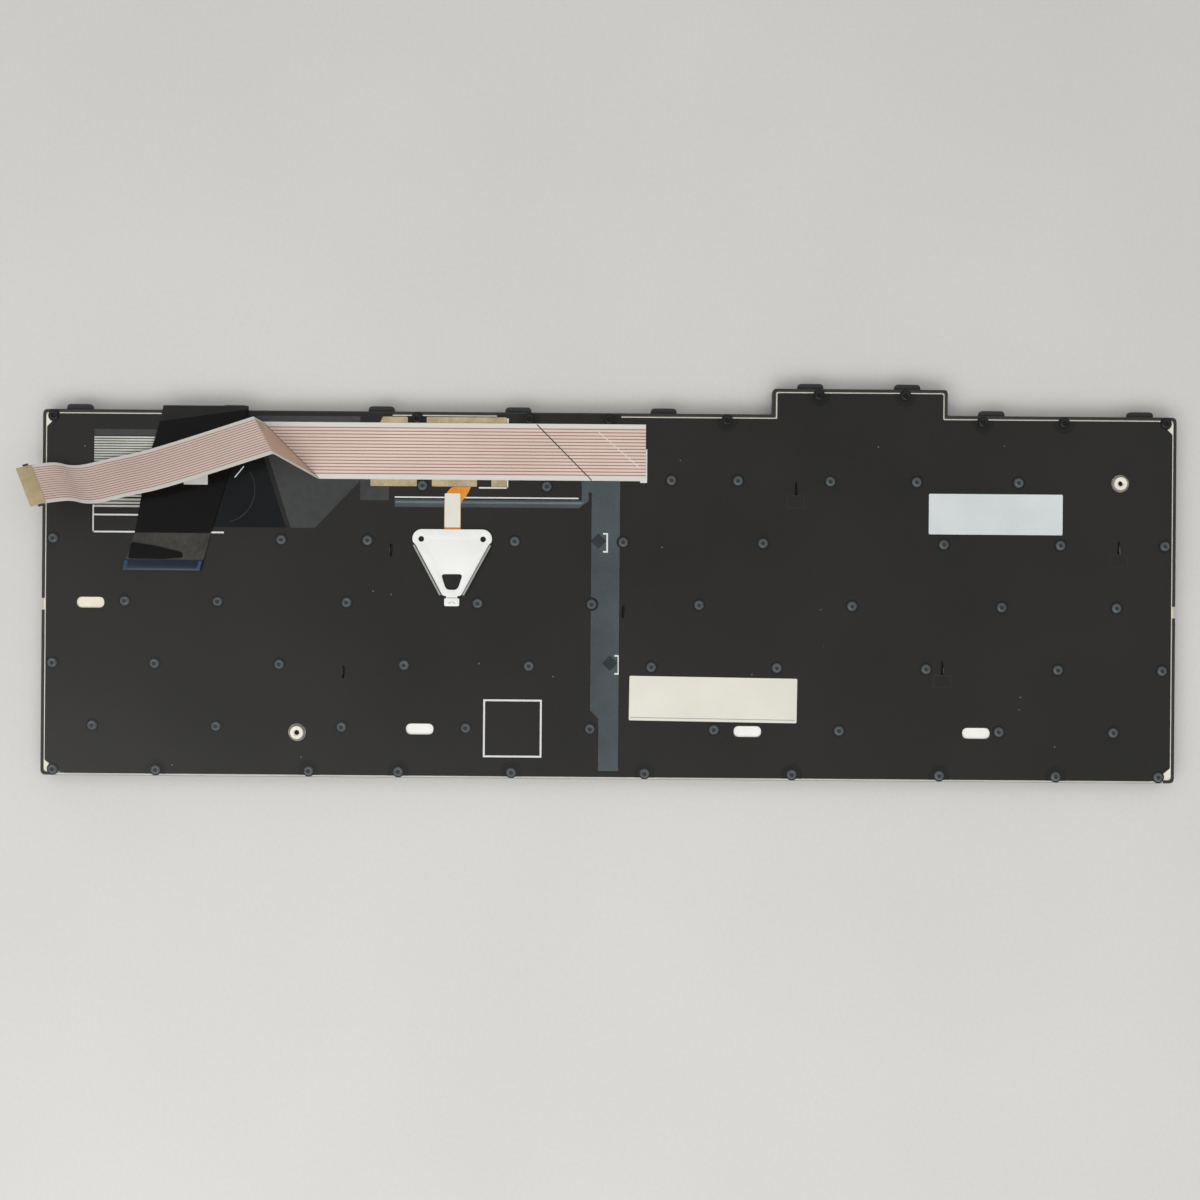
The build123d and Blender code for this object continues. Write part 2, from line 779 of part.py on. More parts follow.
# Matrix cable: flat run, slanting crease, then a tail that stands on its front edge
run_z = tape_z
cable_rear_y = cable_front_y - cable_width
crease_front = Vector(crease_front_x, cable_front_y, run_z)
crease_rear = Vector(crease_front_x + cable_width, cable_rear_y, run_z)
lift = Vector(-11.2, 6.4, cable_lift)
ridge_front = crease_front + lift * 0.2
ridge_rear = crease_rear + lift
bend_step = Vector(-32.0, -10.4, -1.2)
kink_step = Vector(-22.2, -4.6, 0.0)
end_step = Vector(-13.0, -0.3, 1.8)
tip_step = Vector(-4.3, -1.3, 1.0)
cable_lines = [
    (Vector(cable_start_x, cable_front_y, run_z), Vector(cable_start_x, cable_rear_y, run_z)),
    (crease_front, crease_rear),
    (ridge_front, ridge_rear),
]
reach = Vector(0, 0, 0)
for step in (bend_step, kink_step, end_step):
    reach = reach + step
    cable_lines.append((ridge_front + reach, ridge_rear + reach))
end_line = (ridge_front + reach + tip_step, ridge_rear + reach + tip_step)
cable_rise = Vector(0.19, 0.48, 0.86)
with BuildPart() as matrix_cable:
    for near, far in zip(cable_lines, cable_lines[1:]):
        plane, corners = facet(near, far)
        with BuildSketch(plane):
            with BuildLine():
                Polyline(*corners, close=True)
            make_face()
        extrude(amount=cable_thickness / cable_rise.Z, dir=cable_rise)
matrix_cable.part.label = "matrix_cable"
export_step(matrix_cable.part, "parts/matrix_cable.step")

# Stiffener at the cable's end
with BuildPart() as matrix_cable_stiffener:
    plane, corners = facet(cable_lines[-1], end_line)
    with BuildSketch(plane):
        with BuildLine():
            Polyline(*corners, close=True)
        make_face()
    extrude(amount=stiffener_thickness / cable_rise.Z, dir=cable_rise)
matrix_cable_stiffener.part.label = "matrix_cable_stiffener"
export_step(matrix_cable_stiffener.part, "parts/matrix_cable_stiffener.step")

# Backlight flex, folded back over the front edge
lower_z = back_z
upper_z = lower_z + tail_fold_height
fold_front = front_y + tail_fold_reach
over_left = column(1.28)
over_width = tail_flex_width * 0.92
flex_end_y = row_front[2] - 6.6
with BuildPart() as backlight_flex:
    with BuildSketch(Plane.XY.offset(lower_z)) as under:
        with BuildLine():
            Polyline(
                (under_left, under_y),
                (under_left + tail_flex_width, under_y),
                (fold_left + tail_flex_width, fold_y),
                (fold_left, fold_y),
                close=True,
            )
        make_face()
    extrude(amount=tail_flex_thickness)
    with BuildSketch(Plane.XY.offset(upper_z)) as over:
        with BuildLine():
            Polyline(
                (over_left, flex_end_y),
                (over_left + over_width, flex_end_y),
                (fold_left + tail_flex_width, fold_y),
                (fold_left, fold_y),
                close=True,
            )
        make_face()
    extrude(amount=tail_flex_thickness)
    with BuildSketch(Plane.YZ.offset(fold_left)) as fold:
        with BuildLine():
            Polyline(
                (fold_y, lower_z),
                (fold_front - tail_flex_thickness, lower_z),
                (fold_front, lower_z + tail_flex_thickness),
                (fold_front, upper_z),
                (fold_front - tail_flex_thickness, upper_z + tail_flex_thickness),
                (fold_y, upper_z + tail_flex_thickness),
                (fold_y, upper_z),
                (fold_front - tail_flex_thickness, upper_z),
                (fold_front - tail_flex_thickness, lower_z + tail_flex_thickness),
                (fold_y, lower_z + tail_flex_thickness),
                close=True,
            )
        make_face()
    extrude(amount=tail_flex_width)
backlight_flex.part.label = "backlight_flex"
export_step(backlight_flex.part, "parts/backlight_flex.step")

# Blue stiffener at the flex's end, with an ear on each side
blue_x = over_left + over_width / 2
with BuildPart() as backlight_flex_stiffener:
    with BuildSketch(Plane.XY.offset(upper_z)) as band:
        with Locations((blue_x, flex_end_y)):
            Rectangle(over_width, 3.2, align=(Align.CENTER, Align.MAX))
        with Locations((blue_x, flex_end_y - 1.2)):
            Rectangle(tail_flex_width, 1.4)
    extrude(amount=stiffener_thickness)
backlight_flex_stiffener.part.label = "backlight_flex_stiffener"
export_step(backlight_flex_stiffener.part, "parts/backlight_flex_stiffener.step")
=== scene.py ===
# %% [markdown]
# # A laptop keyboard, lying on its keys
# The frame holds the measured solids of a replacement laptop keyboard. This lesson dresses them:
# soft edges, films, foils, a printed cable and moulded keycaps, all in the same coordinates.
# Every piece is drawn in millimetres and brought to metres at the end, so that a number here can be
# compared with a ruler on the real thing.

# %% Load the frame
import json
from math import asin, atan2, cos, pi, radians, sin, sqrt, tan

import bmesh
import bpy
from mathutils import Matrix, Vector

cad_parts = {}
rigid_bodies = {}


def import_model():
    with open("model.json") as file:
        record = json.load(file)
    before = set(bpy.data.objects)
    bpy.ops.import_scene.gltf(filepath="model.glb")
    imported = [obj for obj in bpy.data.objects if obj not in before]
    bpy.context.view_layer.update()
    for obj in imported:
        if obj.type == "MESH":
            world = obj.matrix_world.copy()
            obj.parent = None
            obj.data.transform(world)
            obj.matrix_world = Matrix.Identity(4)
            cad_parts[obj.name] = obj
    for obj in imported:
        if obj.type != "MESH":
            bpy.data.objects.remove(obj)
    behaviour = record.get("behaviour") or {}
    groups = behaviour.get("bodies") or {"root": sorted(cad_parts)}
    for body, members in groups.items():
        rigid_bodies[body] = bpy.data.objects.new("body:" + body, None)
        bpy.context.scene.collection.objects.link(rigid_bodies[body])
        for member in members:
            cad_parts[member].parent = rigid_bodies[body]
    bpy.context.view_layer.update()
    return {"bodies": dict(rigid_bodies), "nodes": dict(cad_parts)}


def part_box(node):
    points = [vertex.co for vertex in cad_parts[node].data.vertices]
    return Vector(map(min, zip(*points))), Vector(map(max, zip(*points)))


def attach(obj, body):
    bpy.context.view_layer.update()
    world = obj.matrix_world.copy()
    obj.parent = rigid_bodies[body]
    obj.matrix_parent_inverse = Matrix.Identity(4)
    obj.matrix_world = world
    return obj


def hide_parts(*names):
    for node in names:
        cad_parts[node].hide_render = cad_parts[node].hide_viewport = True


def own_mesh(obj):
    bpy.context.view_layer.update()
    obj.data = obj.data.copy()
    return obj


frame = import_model()
scene = bpy.context.scene
scene.view_settings.view_transform = "Standard"

# %% [markdown]
# ## The camera
# The photograph looks straight down on the back of the keyboard from about arm's length. A camera that
# is not turned already looks down, so only its height, its lens and a very small roll are needed.
# The lens follows from the width that the picture covers at the height of the black film.

# %% Camera
view_width = 367.0
view_height = 450.0
film_top = 5.35
camera_data = bpy.data.cameras.new("camera")
camera_data.sensor_width = 36.0
camera_data.lens = 36.0 * view_height / view_width
camera_data.clip_start = 0.01
camera = bpy.data.objects.new("camera", camera_data)
camera.location = (-0.0026, -0.0060, (view_height + film_top) / 1000)
camera.rotation_euler = (0.0, 0.0, radians(0.45))
scene.collection.objects.link(camera)
scene.camera = camera
print("lens", round(camera_data.lens, 1), "mm")

# %% [markdown]
# ## Finishes
# Plastic, steel, film and paper all show a fine grain and a slow drift of tone. Painting each by hand
# would take long, so one node group makes both, and every finish uses it with sizes of its own.
# Its place comes from Object coordinates, which here are metres on the real keyboard.

# %% Shared grain group
grain = bpy.data.node_groups.new("grain_and_drift", "ShaderNodeTree")
grain.interface.new_socket("Grain Size", in_out="INPUT", socket_type="NodeSocketFloat")
grain.interface.new_socket("Drift Size", in_out="INPUT", socket_type="NodeSocketFloat")
grain.interface.new_socket("Relief", in_out="INPUT", socket_type="NodeSocketFloat")
grain.interface.new_socket("Tone", in_out="OUTPUT", socket_type="NodeSocketFloat")
grain.interface.new_socket("Grain", in_out="OUTPUT", socket_type="NodeSocketFloat")
grain.interface.new_socket("Normal", in_out="OUTPUT", socket_type="NodeSocketVector")


def add_node(tree, kind, **settings):
    node = tree.nodes.new(kind)
    for key, value in settings.items():
        setattr(node, key, value)
    return node


def math_node(tree, operation, first, second=None, clamp=False):
    node = add_node(tree, "ShaderNodeMath", operation=operation, use_clamp=clamp)
    for socket, value in zip(node.inputs, (first, second)):
        if isinstance(value, (int, float)):
            socket.default_value = value
        elif value is not None:
            tree.links.new(value, socket)
    return node.outputs[0]


group_in = add_node(grain, "NodeGroupInput")
group_out = add_node(grain, "NodeGroupOutput")
place = add_node(grain, "ShaderNodeTexCoord")
fine = add_node(grain, "ShaderNodeTexNoise")
fine.inputs["Detail"].default_value = 4.0
slow = add_node(grain, "ShaderNodeTexNoise")
slow.inputs["Detail"].default_value = 2.0
bump = add_node(grain, "ShaderNodeBump")
bump.inputs["Distance"].default_value = 0.0001
for noise, size in ((fine, "Grain Size"), (slow, "Drift Size")):
    per_metre = math_node(grain, "DIVIDE", 1.0, group_in.outputs[size])
    grain.links.new(per_metre, noise.inputs["Scale"])
    grain.links.new(place.outputs["Object"], noise.inputs["Vector"])
half = math_node(grain, "MULTIPLY", fine.outputs[0], 0.4)
tone = math_node(grain, "MULTIPLY_ADD", slow.outputs[0], 0.6)
grain.links.new(half, tone.node.inputs[2])
grain.links.new(fine.outputs[0], bump.inputs["Height"])
grain.links.new(group_in.outputs["Relief"], bump.inputs["Strength"])
grain.links.new(tone, group_out.inputs["Tone"])
grain.links.new(fine.outputs[0], group_out.inputs["Grain"])
grain.links.new(bump.outputs[0], group_out.inputs["Normal"])
print("group", grain.name, "with", len(grain.nodes), "nodes")

# %% [markdown]
# A finish is two neighbouring tones, a range of roughness and the grain's size. Colours are written as
# they look on a screen, from 0 to 255, and turned into light by the small function below.

# %% Finishes


def light(*rgb):
    linear = []
    for value in rgb:
        share = value / 255
        linear.append(share / 12.92 if share <= 0.04045 else ((share + 0.055) / 1.055) ** 2.4)
    return (*linear, 1.0)


def finish(name, dark, pale, rough, grain_mm, drift_mm, relief=0.1, **constant):
    paint = bpy.data.materials.new(name)
    paint.use_nodes = True
    tree = paint.node_tree
    shader = tree.nodes["Principled BSDF"]
    detail = add_node(tree, "ShaderNodeGroup", node_tree=grain, name="detail")
    detail.inputs["Grain Size"].default_value = grain_mm / 1000
    detail.inputs["Drift Size"].default_value = drift_mm / 1000
    detail.inputs["Relief"].default_value = relief
    ramp = add_node(tree, "ShaderNodeValToRGB", name="tones")
    ramp.color_ramp.elements[0].position = 0.3
    ramp.color_ramp.elements[0].color = light(*dark)
    ramp.color_ramp.elements[1].position = 0.7
    ramp.color_ramp.elements[1].color = light(*pale)
    span = add_node(tree, "ShaderNodeMapRange", name="gloss")
    span.inputs["To Min"].default_value = rough[0]
    span.inputs["To Max"].default_value = rough[1]
    tree.links.new(detail.outputs["Tone"], ramp.inputs["Fac"])
    tree.links.new(detail.outputs["Grain"], span.inputs["Value"])
    tree.links.new(ramp.outputs["Color"], shader.inputs["Base Color"])
    tree.links.new(span.outputs["Result"], shader.inputs["Roughness"])
    tree.links.new(detail.outputs["Normal"], shader.inputs["Normal"])
    for socket, value in constant.items():
        shader.inputs[socket.replace("_", " ")].default_value = value
    return paint


frame_black = finish("frame_black", (36, 36, 37), (48, 48, 49), (0.45, 0.6), 0.25, 20, 0.25)
key_black = finish("key_black", (27, 27, 29), (37, 37, 39), (0.5, 0.68), 0.18, 14, 0.3)
dome_rubber = finish("dome_rubber", (190, 190, 186), (214, 214, 210), (0.5, 0.7), 0.4, 6)
link_white = finish("link_white", (215, 214, 208), (235, 234, 228), (0.4, 0.55), 0.4, 8)
plate_steel = finish("plate_steel", (212, 200, 168), (236, 226, 198), (0.35, 0.5), 0.5, 25, 0.1, Metallic=0.15)
clear_film = finish("clear_film", (10, 10, 11), (18, 18, 19), (0.25, 0.4), 0.6, 30)
guide_white = finish("light_guide", (214, 208, 194), (232, 228, 216), (0.3, 0.42), 0.5, 30)
stake_black = finish("stake_black", (64, 69, 72), (92, 98, 101), (0.18, 0.28), 0.3, 3, 0.3)
ring_black = finish("ring_black", (10, 10, 10), (18, 17, 17), (0.4, 0.55), 0.3, 6)
insert_metal = finish("insert_metal", (230, 224, 206), (245, 240, 227), (0.25, 0.4), 0.15, 4, 0.15, Metallic=0.1)
bracket_steel = finish("bracket_steel", (226, 226, 221), (240, 240, 236), (0.4, 0.55), 0.4, 12, 0.08)
sensor_grey = finish("sensor_grey", (120, 118, 114), (150, 148, 142), (0.4, 0.6), 0.4, 6)
stick_red = finish("stick_red", (150, 26, 30), (182, 38, 40), (0.6, 0.8), 0.22, 4, 0.6)
orange_film = finish("orange_film", (205, 118, 28), (236, 156, 52), (0.25, 0.4), 0.5, 5)
tan_tape = finish("tan_tape", (152, 133, 98), (198, 178, 140), (0.4, 0.55), 0.7, 5, 0.3)
grey_film = finish("grey_film", (56, 57, 57), (70, 71, 71), (0.2, 0.3), 2.5, 30, 0.02)
silver_paper = finish("silver_paper", (200, 207, 206), (215, 221, 219), (0.3, 0.42), 0.5, 16, 0.05)
label_paper = finish("label_paper", (213, 211, 197), (226, 224, 211), (0.5, 0.65), 0.3, 14, 0.1)
stiffener_beige = finish("stiffener_beige", (172, 152, 114), (200, 182, 142), (0.4, 0.55), 0.5, 5, 0.1)
stiffener_blue = finish("stiffener_blue", (11, 24, 40), (16, 34, 56), (0.3, 0.45), 0.4, 5, 0.1)
edge_blue = finish("edge_blue", (8, 56, 88), (16, 78, 112), (0.3, 0.45), 0.4, 3, 0.1)
print_white = finish("print_white", (206, 206, 200), (226, 226, 221), (0.45, 0.6), 0.25, 5, 0.1)
track_pale = finish("track_pale", (176, 177, 167), (204, 205, 196), (0.3, 0.45), 0.3, 9)
reflector = finish("reflector_white", (232, 231, 225), (244, 243, 238), (0.5, 0.65), 0.4, 6)
slot_cream = finish("slot_cream", (226, 217, 196), (240, 232, 214), (0.4, 0.55), 0.4, 6)
groove_grey = finish("groove_grey", (142, 142, 138), (166, 166, 161), (0.45, 0.6), 0.3, 4)
print("finishes", len(bpy.data.materials))

# %% [markdown]
# ## The black film
# The film over the back is satin black polyester. It shows dust: a few bright specks a tenth of a
# millimetre wide, which a Voronoi pattern places, since each of its cells holds one point.

# %% Film finish with dust
dust = bpy.data.node_groups.new("dust", "ShaderNodeTree")
dust.interface.new_socket("Cell", in_out="INPUT", socket_type="NodeSocketFloat")
dust.interface.new_socket("Speck", in_out="INPUT", socket_type="NodeSocketFloat")
dust.interface.new_socket("Mask", in_out="OUTPUT", socket_type="NodeSocketFloat")
group_in = add_node(dust, "NodeGroupInput")
group_out = add_node(dust, "NodeGroupOutput")
place = add_node(dust, "ShaderNodeTexCoord")
cells = add_node(dust, "ShaderNodeTexVoronoi")
per_metre = math_node(dust, "DIVIDE", 1.0, group_in.outputs["Cell"])
dust.links.new(per_metre, cells.inputs["Scale"])
dust.links.new(place.outputs["Object"], cells.inputs["Vector"])
share = math_node(dust, "DIVIDE", group_in.outputs["Speck"], group_in.outputs["Cell"])
near = math_node(dust, "LESS_THAN", cells.outputs["Distance"], share)
pick = add_node(dust, "ShaderNodeSeparateColor")
dust.links.new(cells.outputs["Color"], pick.inputs[0])
few = math_node(dust, "GREATER_THAN", pick.outputs[0], 0.8)
dust.links.new(math_node(dust, "MULTIPLY", near, few), group_out.inputs["Mask"])


def add_dust(paint, cell_mm, speck_mm, colour):
    tree = paint.node_tree
    shader = tree.nodes["Principled BSDF"]
    specks = add_node(tree, "ShaderNodeGroup", node_tree=dust)
    specks.inputs["Cell"].default_value = cell_mm / 1000
    specks.inputs["Speck"].default_value = speck_mm / 1000
    mix = add_node(tree, "ShaderNodeMix", data_type="RGBA")
    tree.links.new(specks.outputs["Mask"], mix.inputs["Factor"])
    tree.links.new(tree.nodes["tones"].outputs["Color"], mix.inputs["A"])
    mix.inputs["B"].default_value = light(*colour)
    tree.links.new(mix.outputs["Result"], shader.inputs["Base Color"])


black_film = finish("black_film", (27, 26, 24), (36, 34, 32), (0.32, 0.42), 0.5, 45, 0.06)
add_dust(black_film, 5.5, 0.22, (112, 110, 104))
tail_film = finish("tail_film", (7, 5, 5), (14, 11, 10), (0.14, 0.22), 0.8, 20, 0.05)
# The film below is darker than the black film: painted shade in the scallop seats; on the top fold of the backlight
# flex it is a painted sheen.
shade_and_sheen_film = finish("shade_and_sheen_film", (20, 19, 18), (28, 27, 25), (0.32, 0.42), 0.5, 10, 0.06)
under_film = finish("under_film", (14, 16, 18), (22, 25, 27), (0.14, 0.22), 0.8, 20, 0.05)
# A lighter film for the drooped end of the backlight flex: a painted sheen of its bend.
sheen_film = finish("sheen_film", (48, 46, 44), (72, 69, 65), (0.16, 0.26), 1.2, 9, 0.05)
strip_film = finish("strip_film", (54, 61, 65), (76, 86, 90), (0.3, 0.4), 0.4, 18, 0.06)
strip_pale = finish("strip_pale", (88, 98, 103), (108, 119, 124), (0.3, 0.42), 0.4, 9)
patch_dark = finish("patch_dark", (32, 39, 44), (44, 52, 57), (0.3, 0.42), 0.4, 6)
print("film finishes made")

# %% [markdown]
# ## Floor and light
# The keyboard lies on a pale grey table in soft daylight. A wide sky gives the even level. It is darker
# straight above, where someone leans over the table, so that the glossy foils look black. One broad lamp
# stands on the near side, where the table is brightest.

# %% Floor and lamps
bm = bmesh.new()
bmesh.ops.create_grid(bm, x_segments=4, y_segments=4, size=2.0)
bmesh.ops.translate(bm, vec=(0, 0, -0.00002), verts=bm.verts)
floor_mesh = bpy.data.meshes.new("floor")
bm.to_mesh(floor_mesh)
bm.free()
floor = bpy.data.objects.new("floor", floor_mesh)
floor_mesh.materials.append(finish("table", (203, 201, 197), (211, 209, 205), (0.6, 0.75), 1.2, 120, 0.05))
scene.collection.objects.link(floor)

world = bpy.data.worlds.new("studio")
world.use_nodes = True
sky = world.node_tree.nodes["Background"]
sky.inputs["Color"].default_value = (0.98, 0.99, 1.0, 1.0)
way = add_node(world.node_tree, "ShaderNodeTexCoord")
parts = add_node(world.node_tree, "ShaderNodeSeparateXYZ")
level = add_node(world.node_tree, "ShaderNodeMapRange")
for socket, value in (("From Min", 0.84), ("From Max", 0.95), ("To Min", 0.5), ("To Max", 0.2)):
    level.inputs[socket].default_value = value
world.node_tree.links.new(way.outputs["Generated"], parts.inputs[0])
world.node_tree.links.new(parts.outputs["Z"], level.inputs["Value"])
world.node_tree.links.new(level.outputs["Result"], sky.inputs["Strength"])
scene.world = world


def lamp(name, place, aim, width, depth, power, mirrored=True):
    data = bpy.data.lights.new(name, "AREA")
    data.shape = "RECTANGLE"
    data.size = width
    data.size_y = depth
    data.energy = power
    obj = bpy.data.objects.new(name, data)
    obj.location = place
    obj.rotation_euler = (Vector(aim) - Vector(place)).to_track_quat("-Z", "Y").to_euler()
    obj.visible_glossy = mirrored
    scene.collection.objects.link(obj)


lamp("window", (-0.2, -0.55, 0.65), (0, -0.05, 0), 1.4, 0.5, 4.4)
lamp("ceiling", (0, 0, 1.8), (0, 0, 0), 4.0, 4.0, 25.0, mirrored=False)
print("lamps", len(bpy.data.lights))

# %% [markdown]
# ## Helpers
# A piece is finished the same way each time: millimetres become metres, doubles merge, the faces turn
# outwards, and the object rides on its body. Flat parts, from the film to the keycaps, all start as an
# outline with holes that is filled, and then its rim grows step by step: outwards, down, back in.

# %% Piece helper


def piece(bm, name, body, paints, slot, *nodes):
    bmesh.ops.remove_doubles(bm, verts=bm.verts, dist=0.0005)
    bmesh.ops.delete(bm, geom=[e for e in bm.edges if not e.link_faces], context="EDGES")
    bmesh.ops.recalc_face_normals(bm, faces=bm.faces)
    bmesh.ops.scale(bm, vec=(0.001, 0.001, 0.001), verts=bm.verts)
    mesh = bpy.data.meshes.new(name)
    bm.to_mesh(mesh)
    bm.free()
    for paint in paints:
        mesh.materials.append(paint)
    mesh.shade_smooth()
    mesh.set_sharp_from_angle(angle=radians(32))
    obj = bpy.data.objects.new(name, mesh)
    scene.collection.objects.link(obj)
    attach(obj, body)
    if nodes:
        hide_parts(*nodes)
    print(name, len(mesh.polygons), "faces")
    return obj


def solids(node):
    bm = bmesh.new()
    bm.from_mesh(frame["nodes"][node].data)
    bmesh.ops.scale(bm, vec=(1000, 1000, 1000), verts=bm.verts)
    bmesh.ops.remove_doubles(bm, verts=bm.verts, dist=0.0005)
    boxes = []
    left = set(bm.verts)
    while left:
        island = [left.pop()]
        for vert in island:
            for edge in vert.link_edges:
                other = edge.other_vert(vert)
                if other in left:
                    left.remove(other)
                    island.append(other)
        low = Vector([min(v.co[k] for v in island) for k in range(3)])
        high = Vector([max(v.co[k] for v in island) for k in range(3)])
        boxes.append((low, high))
    bm.free()
    return sorted(boxes, key=lambda box: (round(box[0].y, 1), round(box[0].x, 1)))


def node_box(node):
    low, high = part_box(node)
    return low * 1000, high * 1000


stakes = [(low + high) / 2 for low, high in solids("stake_heads")]
print("stakes", len(stakes))

# %% Outline helpers


def rounded(corners, radius, steps=4):
    points = []
    count = len(corners)
    for k in range(count):
        before, here, after = (Vector(corners[(k + s) % count]) for s in (-1, 0, 1))
        reach = radius[k] if isinstance(radius, (list, tuple)) else radius
        if reach <= 0:
            points.append(here)
            continue
        start = here + (before - here).normalized() * reach
        end = here + (after - here).normalized() * reach
        for s in range(steps + 1):
            t = s / steps
            points.append(start * (1 - t) ** 2 + here * 2 * t * (1 - t) + end * t ** 2)
    return points


def box_corners(x0, y0, x1, y1):
    return [(x0, y0), (x1, y0), (x1, y1), (x0, y1)]


def disc(x, y, radius, count=20):
    return [Vector((x + radius * cos(2 * pi * k / count), y + radius * sin(2 * pi * k / count)))
            for k in range(count)]


def fill(bm, loops, z):
    edges = []
    for loop in loops:
        verts = [bm.verts.new((p[0], p[1], z)) for p in loop]
        edges += [bm.edges.new((a, b)) for a, b in zip(verts, verts[1:] + verts[:1])]
    made = bmesh.ops.triangle_fill(bm, edges=edges, use_beauty=True, normal=(0, 0, 1))
    faces = [g for g in made["geom"] if isinstance(g, bmesh.types.BMFace)]
    for face in faces:
        face.normal_update()
        if face.normal.z < 0:
            face.normal_flip()
    return faces


def rim_of(faces):
    inside = set(faces)
    edges = []
    ways = {}
    for face in faces:
        for loop in face.loops:
            if sum(f in inside for f in loop.edge.link_faces) == 1:
                edges.append(loop.edge)
                along = loop.link_loop_next.vert.co - loop.vert.co
                out = along.cross(face.normal).normalized()
                for vert in loop.edge.verts:
                    ways.setdefault(vert, []).append(out)
    mitre = {}
    for vert, (a, *rest) in ways.items():
        b = rest[0] if rest else a
        mitre[vert] = (a + b) / max(0.2, 1 + a.dot(b))
    return edges, mitre


def grow(bm, rim, out, up):
    edges, mitre = rim
    made = bmesh.ops.extrude_edge_only(bm, edges=edges)["geom"]
    fresh = {g for g in made if isinstance(g, bmesh.types.BMVert)}
    ways = {}
    for vert in fresh:
        old = next(e.other_vert(vert) for e in vert.link_edges if e.other_vert(vert) in mitre)
        ways[vert] = mitre[old]
        vert.co += mitre[old] * out + Vector((0, 0, up))
    new_edges = {e for v in fresh for e in v.link_edges if e.verts[0] in fresh and e.verts[1] in fresh}
    return list(new_edges), ways


def plate(bm, loops, z0, z1, soft=0.0):
    faces = fill(bm, loops, z1)
    rim = rim_of(faces)
    for vert, way in rim[1].items():
        vert.co -= way * soft
    under = bmesh.ops.duplicate(bm, geom=faces)["geom"]
    under_faces = [g for g in under if isinstance(g, bmesh.types.BMFace)]
    under_verts = [g for g in under if isinstance(g, bmesh.types.BMVert)]
    bmesh.ops.translate(bm, vec=(0, 0, z0 - z1), verts=under_verts)
    bmesh.ops.reverse_faces(bm, faces=under_faces)
    if soft:
        rim = grow(bm, rim, soft * 0.7, -soft * 0.3)
        rim = grow(bm, rim, soft * 0.3, -soft * 0.7)
    rim = grow(bm, rim, 0, z0 - z1 + 2 * soft)
    if soft:
        rim = grow(bm, rim, -soft * 0.3, -soft * 0.7)
        rim = grow(bm, rim, -soft * 0.7, -soft * 0.3)
    bmesh.ops.remove_doubles(bm, verts=under_verts + list(rim[1]), dist=0.002)
    return faces


def block(bm, x0, y0, z0, x1, y1, z1):
    size = Matrix.Diagonal((x1 - x0, y1 - y0, z1 - z0, 1))
    middle = Matrix.Translation(((x0 + x1) / 2, (y0 + y1) / 2, (z0 + z1) / 2))
    return bmesh.ops.create_cube(bm, size=1.0, matrix=middle @ size)["verts"]


def turned(bm, profile, steps, x, y, angle=2 * pi):
    verts = [bm.verts.new((radius, 0, z)) for radius, z in profile]
    edges = [bm.edges.new(pair) for pair in zip(verts, verts[1:])]
    full = abs(angle - 2 * pi) < 0.001
    made = bmesh.ops.spin(bm, geom=verts + edges, cent=(0, 0, 0), axis=(0, 0, 1), angle=angle,
                          steps=steps, use_merge=full)
    verts = set(verts) | {v for g in made["geom_last"] for v in getattr(g, "verts", [g])}
    reached = list(verts)
    for vert in reached:
        for edge in vert.link_edges:
            other = edge.other_vert(vert)
            if other not in verts:
                verts.add(other)
                reached.append(other)
    bmesh.ops.translate(bm, vec=(x, y, 0), verts=list(verts))


print("helpers ready")

# %% [markdown]
# ## The matrix cable
# The flat cable is a printed polyester ribbon. It lies on the back, folds on a slant, stands up on its
# fold and hangs free to the left, where a stiff end goes into a socket. Its two edges are drawn as
# smooth splines through the route's points, with a few more beside the sharp folds, and the ribbon is
# bridged between them.

# %% Cable route
edge_front = [(11, 47.6, 5.45), (-96, 47.6, 5.45), (-105.8, 47.6, 5.45), (-106.2, 47.6, 5.45),
              (-106.3, 47.66, 5.55), (-108.26, 48.78, 7.66), (-108.44, 48.88, 7.85), (-109.3, 48.6, 7.82),
              (-140.44, 38.48, 6.65),
              (-152.0, 36.0, 6.65), (-160.5, 33.8, 6.65), (-164.6, 33.6, 6.75), (-168.0, 34.5, 7.5),
              (-171.6, 34.3, 8.0), (-175.64, 33.58, 8.45)]
edge_rear = [(11, 30.4, 5.45), (-78.8, 30.4, 5.45), (-88.6, 30.4, 5.45), (-89.0, 30.4, 5.45),
             (-89.4, 30.63, 5.88), (-99.3, 36.29, 16.49), (-100.2, 36.8, 17.45), (-101.1, 36.5, 17.42),
             (-132.2, 26.4, 16.25),
             (-143.8, 23.9, 16.25), (-152.3, 21.7, 16.25), (-156.4, 21.5, 16.4), (-159.8, 22.4, 17.1),
             (-163.4, 22.2, 17.6), (-167.4, 21.5, 18.05)]


def spline_points(name, points):
    curve = bpy.data.curves.new(name, "CURVE")
    curve.dimensions = "3D"
    curve.resolution_u = 10
    spline = curve.splines.new("NURBS")
    spline.points.add(len(points) - 1)
    for knot, co in zip(spline.points, points):
        knot.co = (*co, 1.0)
    spline.order_u = 3
    spline.use_endpoint_u = True
    obj = bpy.data.objects.new(name, curve)
    scene.collection.objects.link(obj)
    mesh = bpy.data.meshes.new_from_object(obj)
    line = [v.co.copy() for v in mesh.vertices]
    bpy.data.objects.remove(obj)
    bpy.data.meshes.remove(mesh)
    return line


front_line = spline_points("cable_front", edge_front)
rear_line = spline_points("cable_rear", edge_rear)
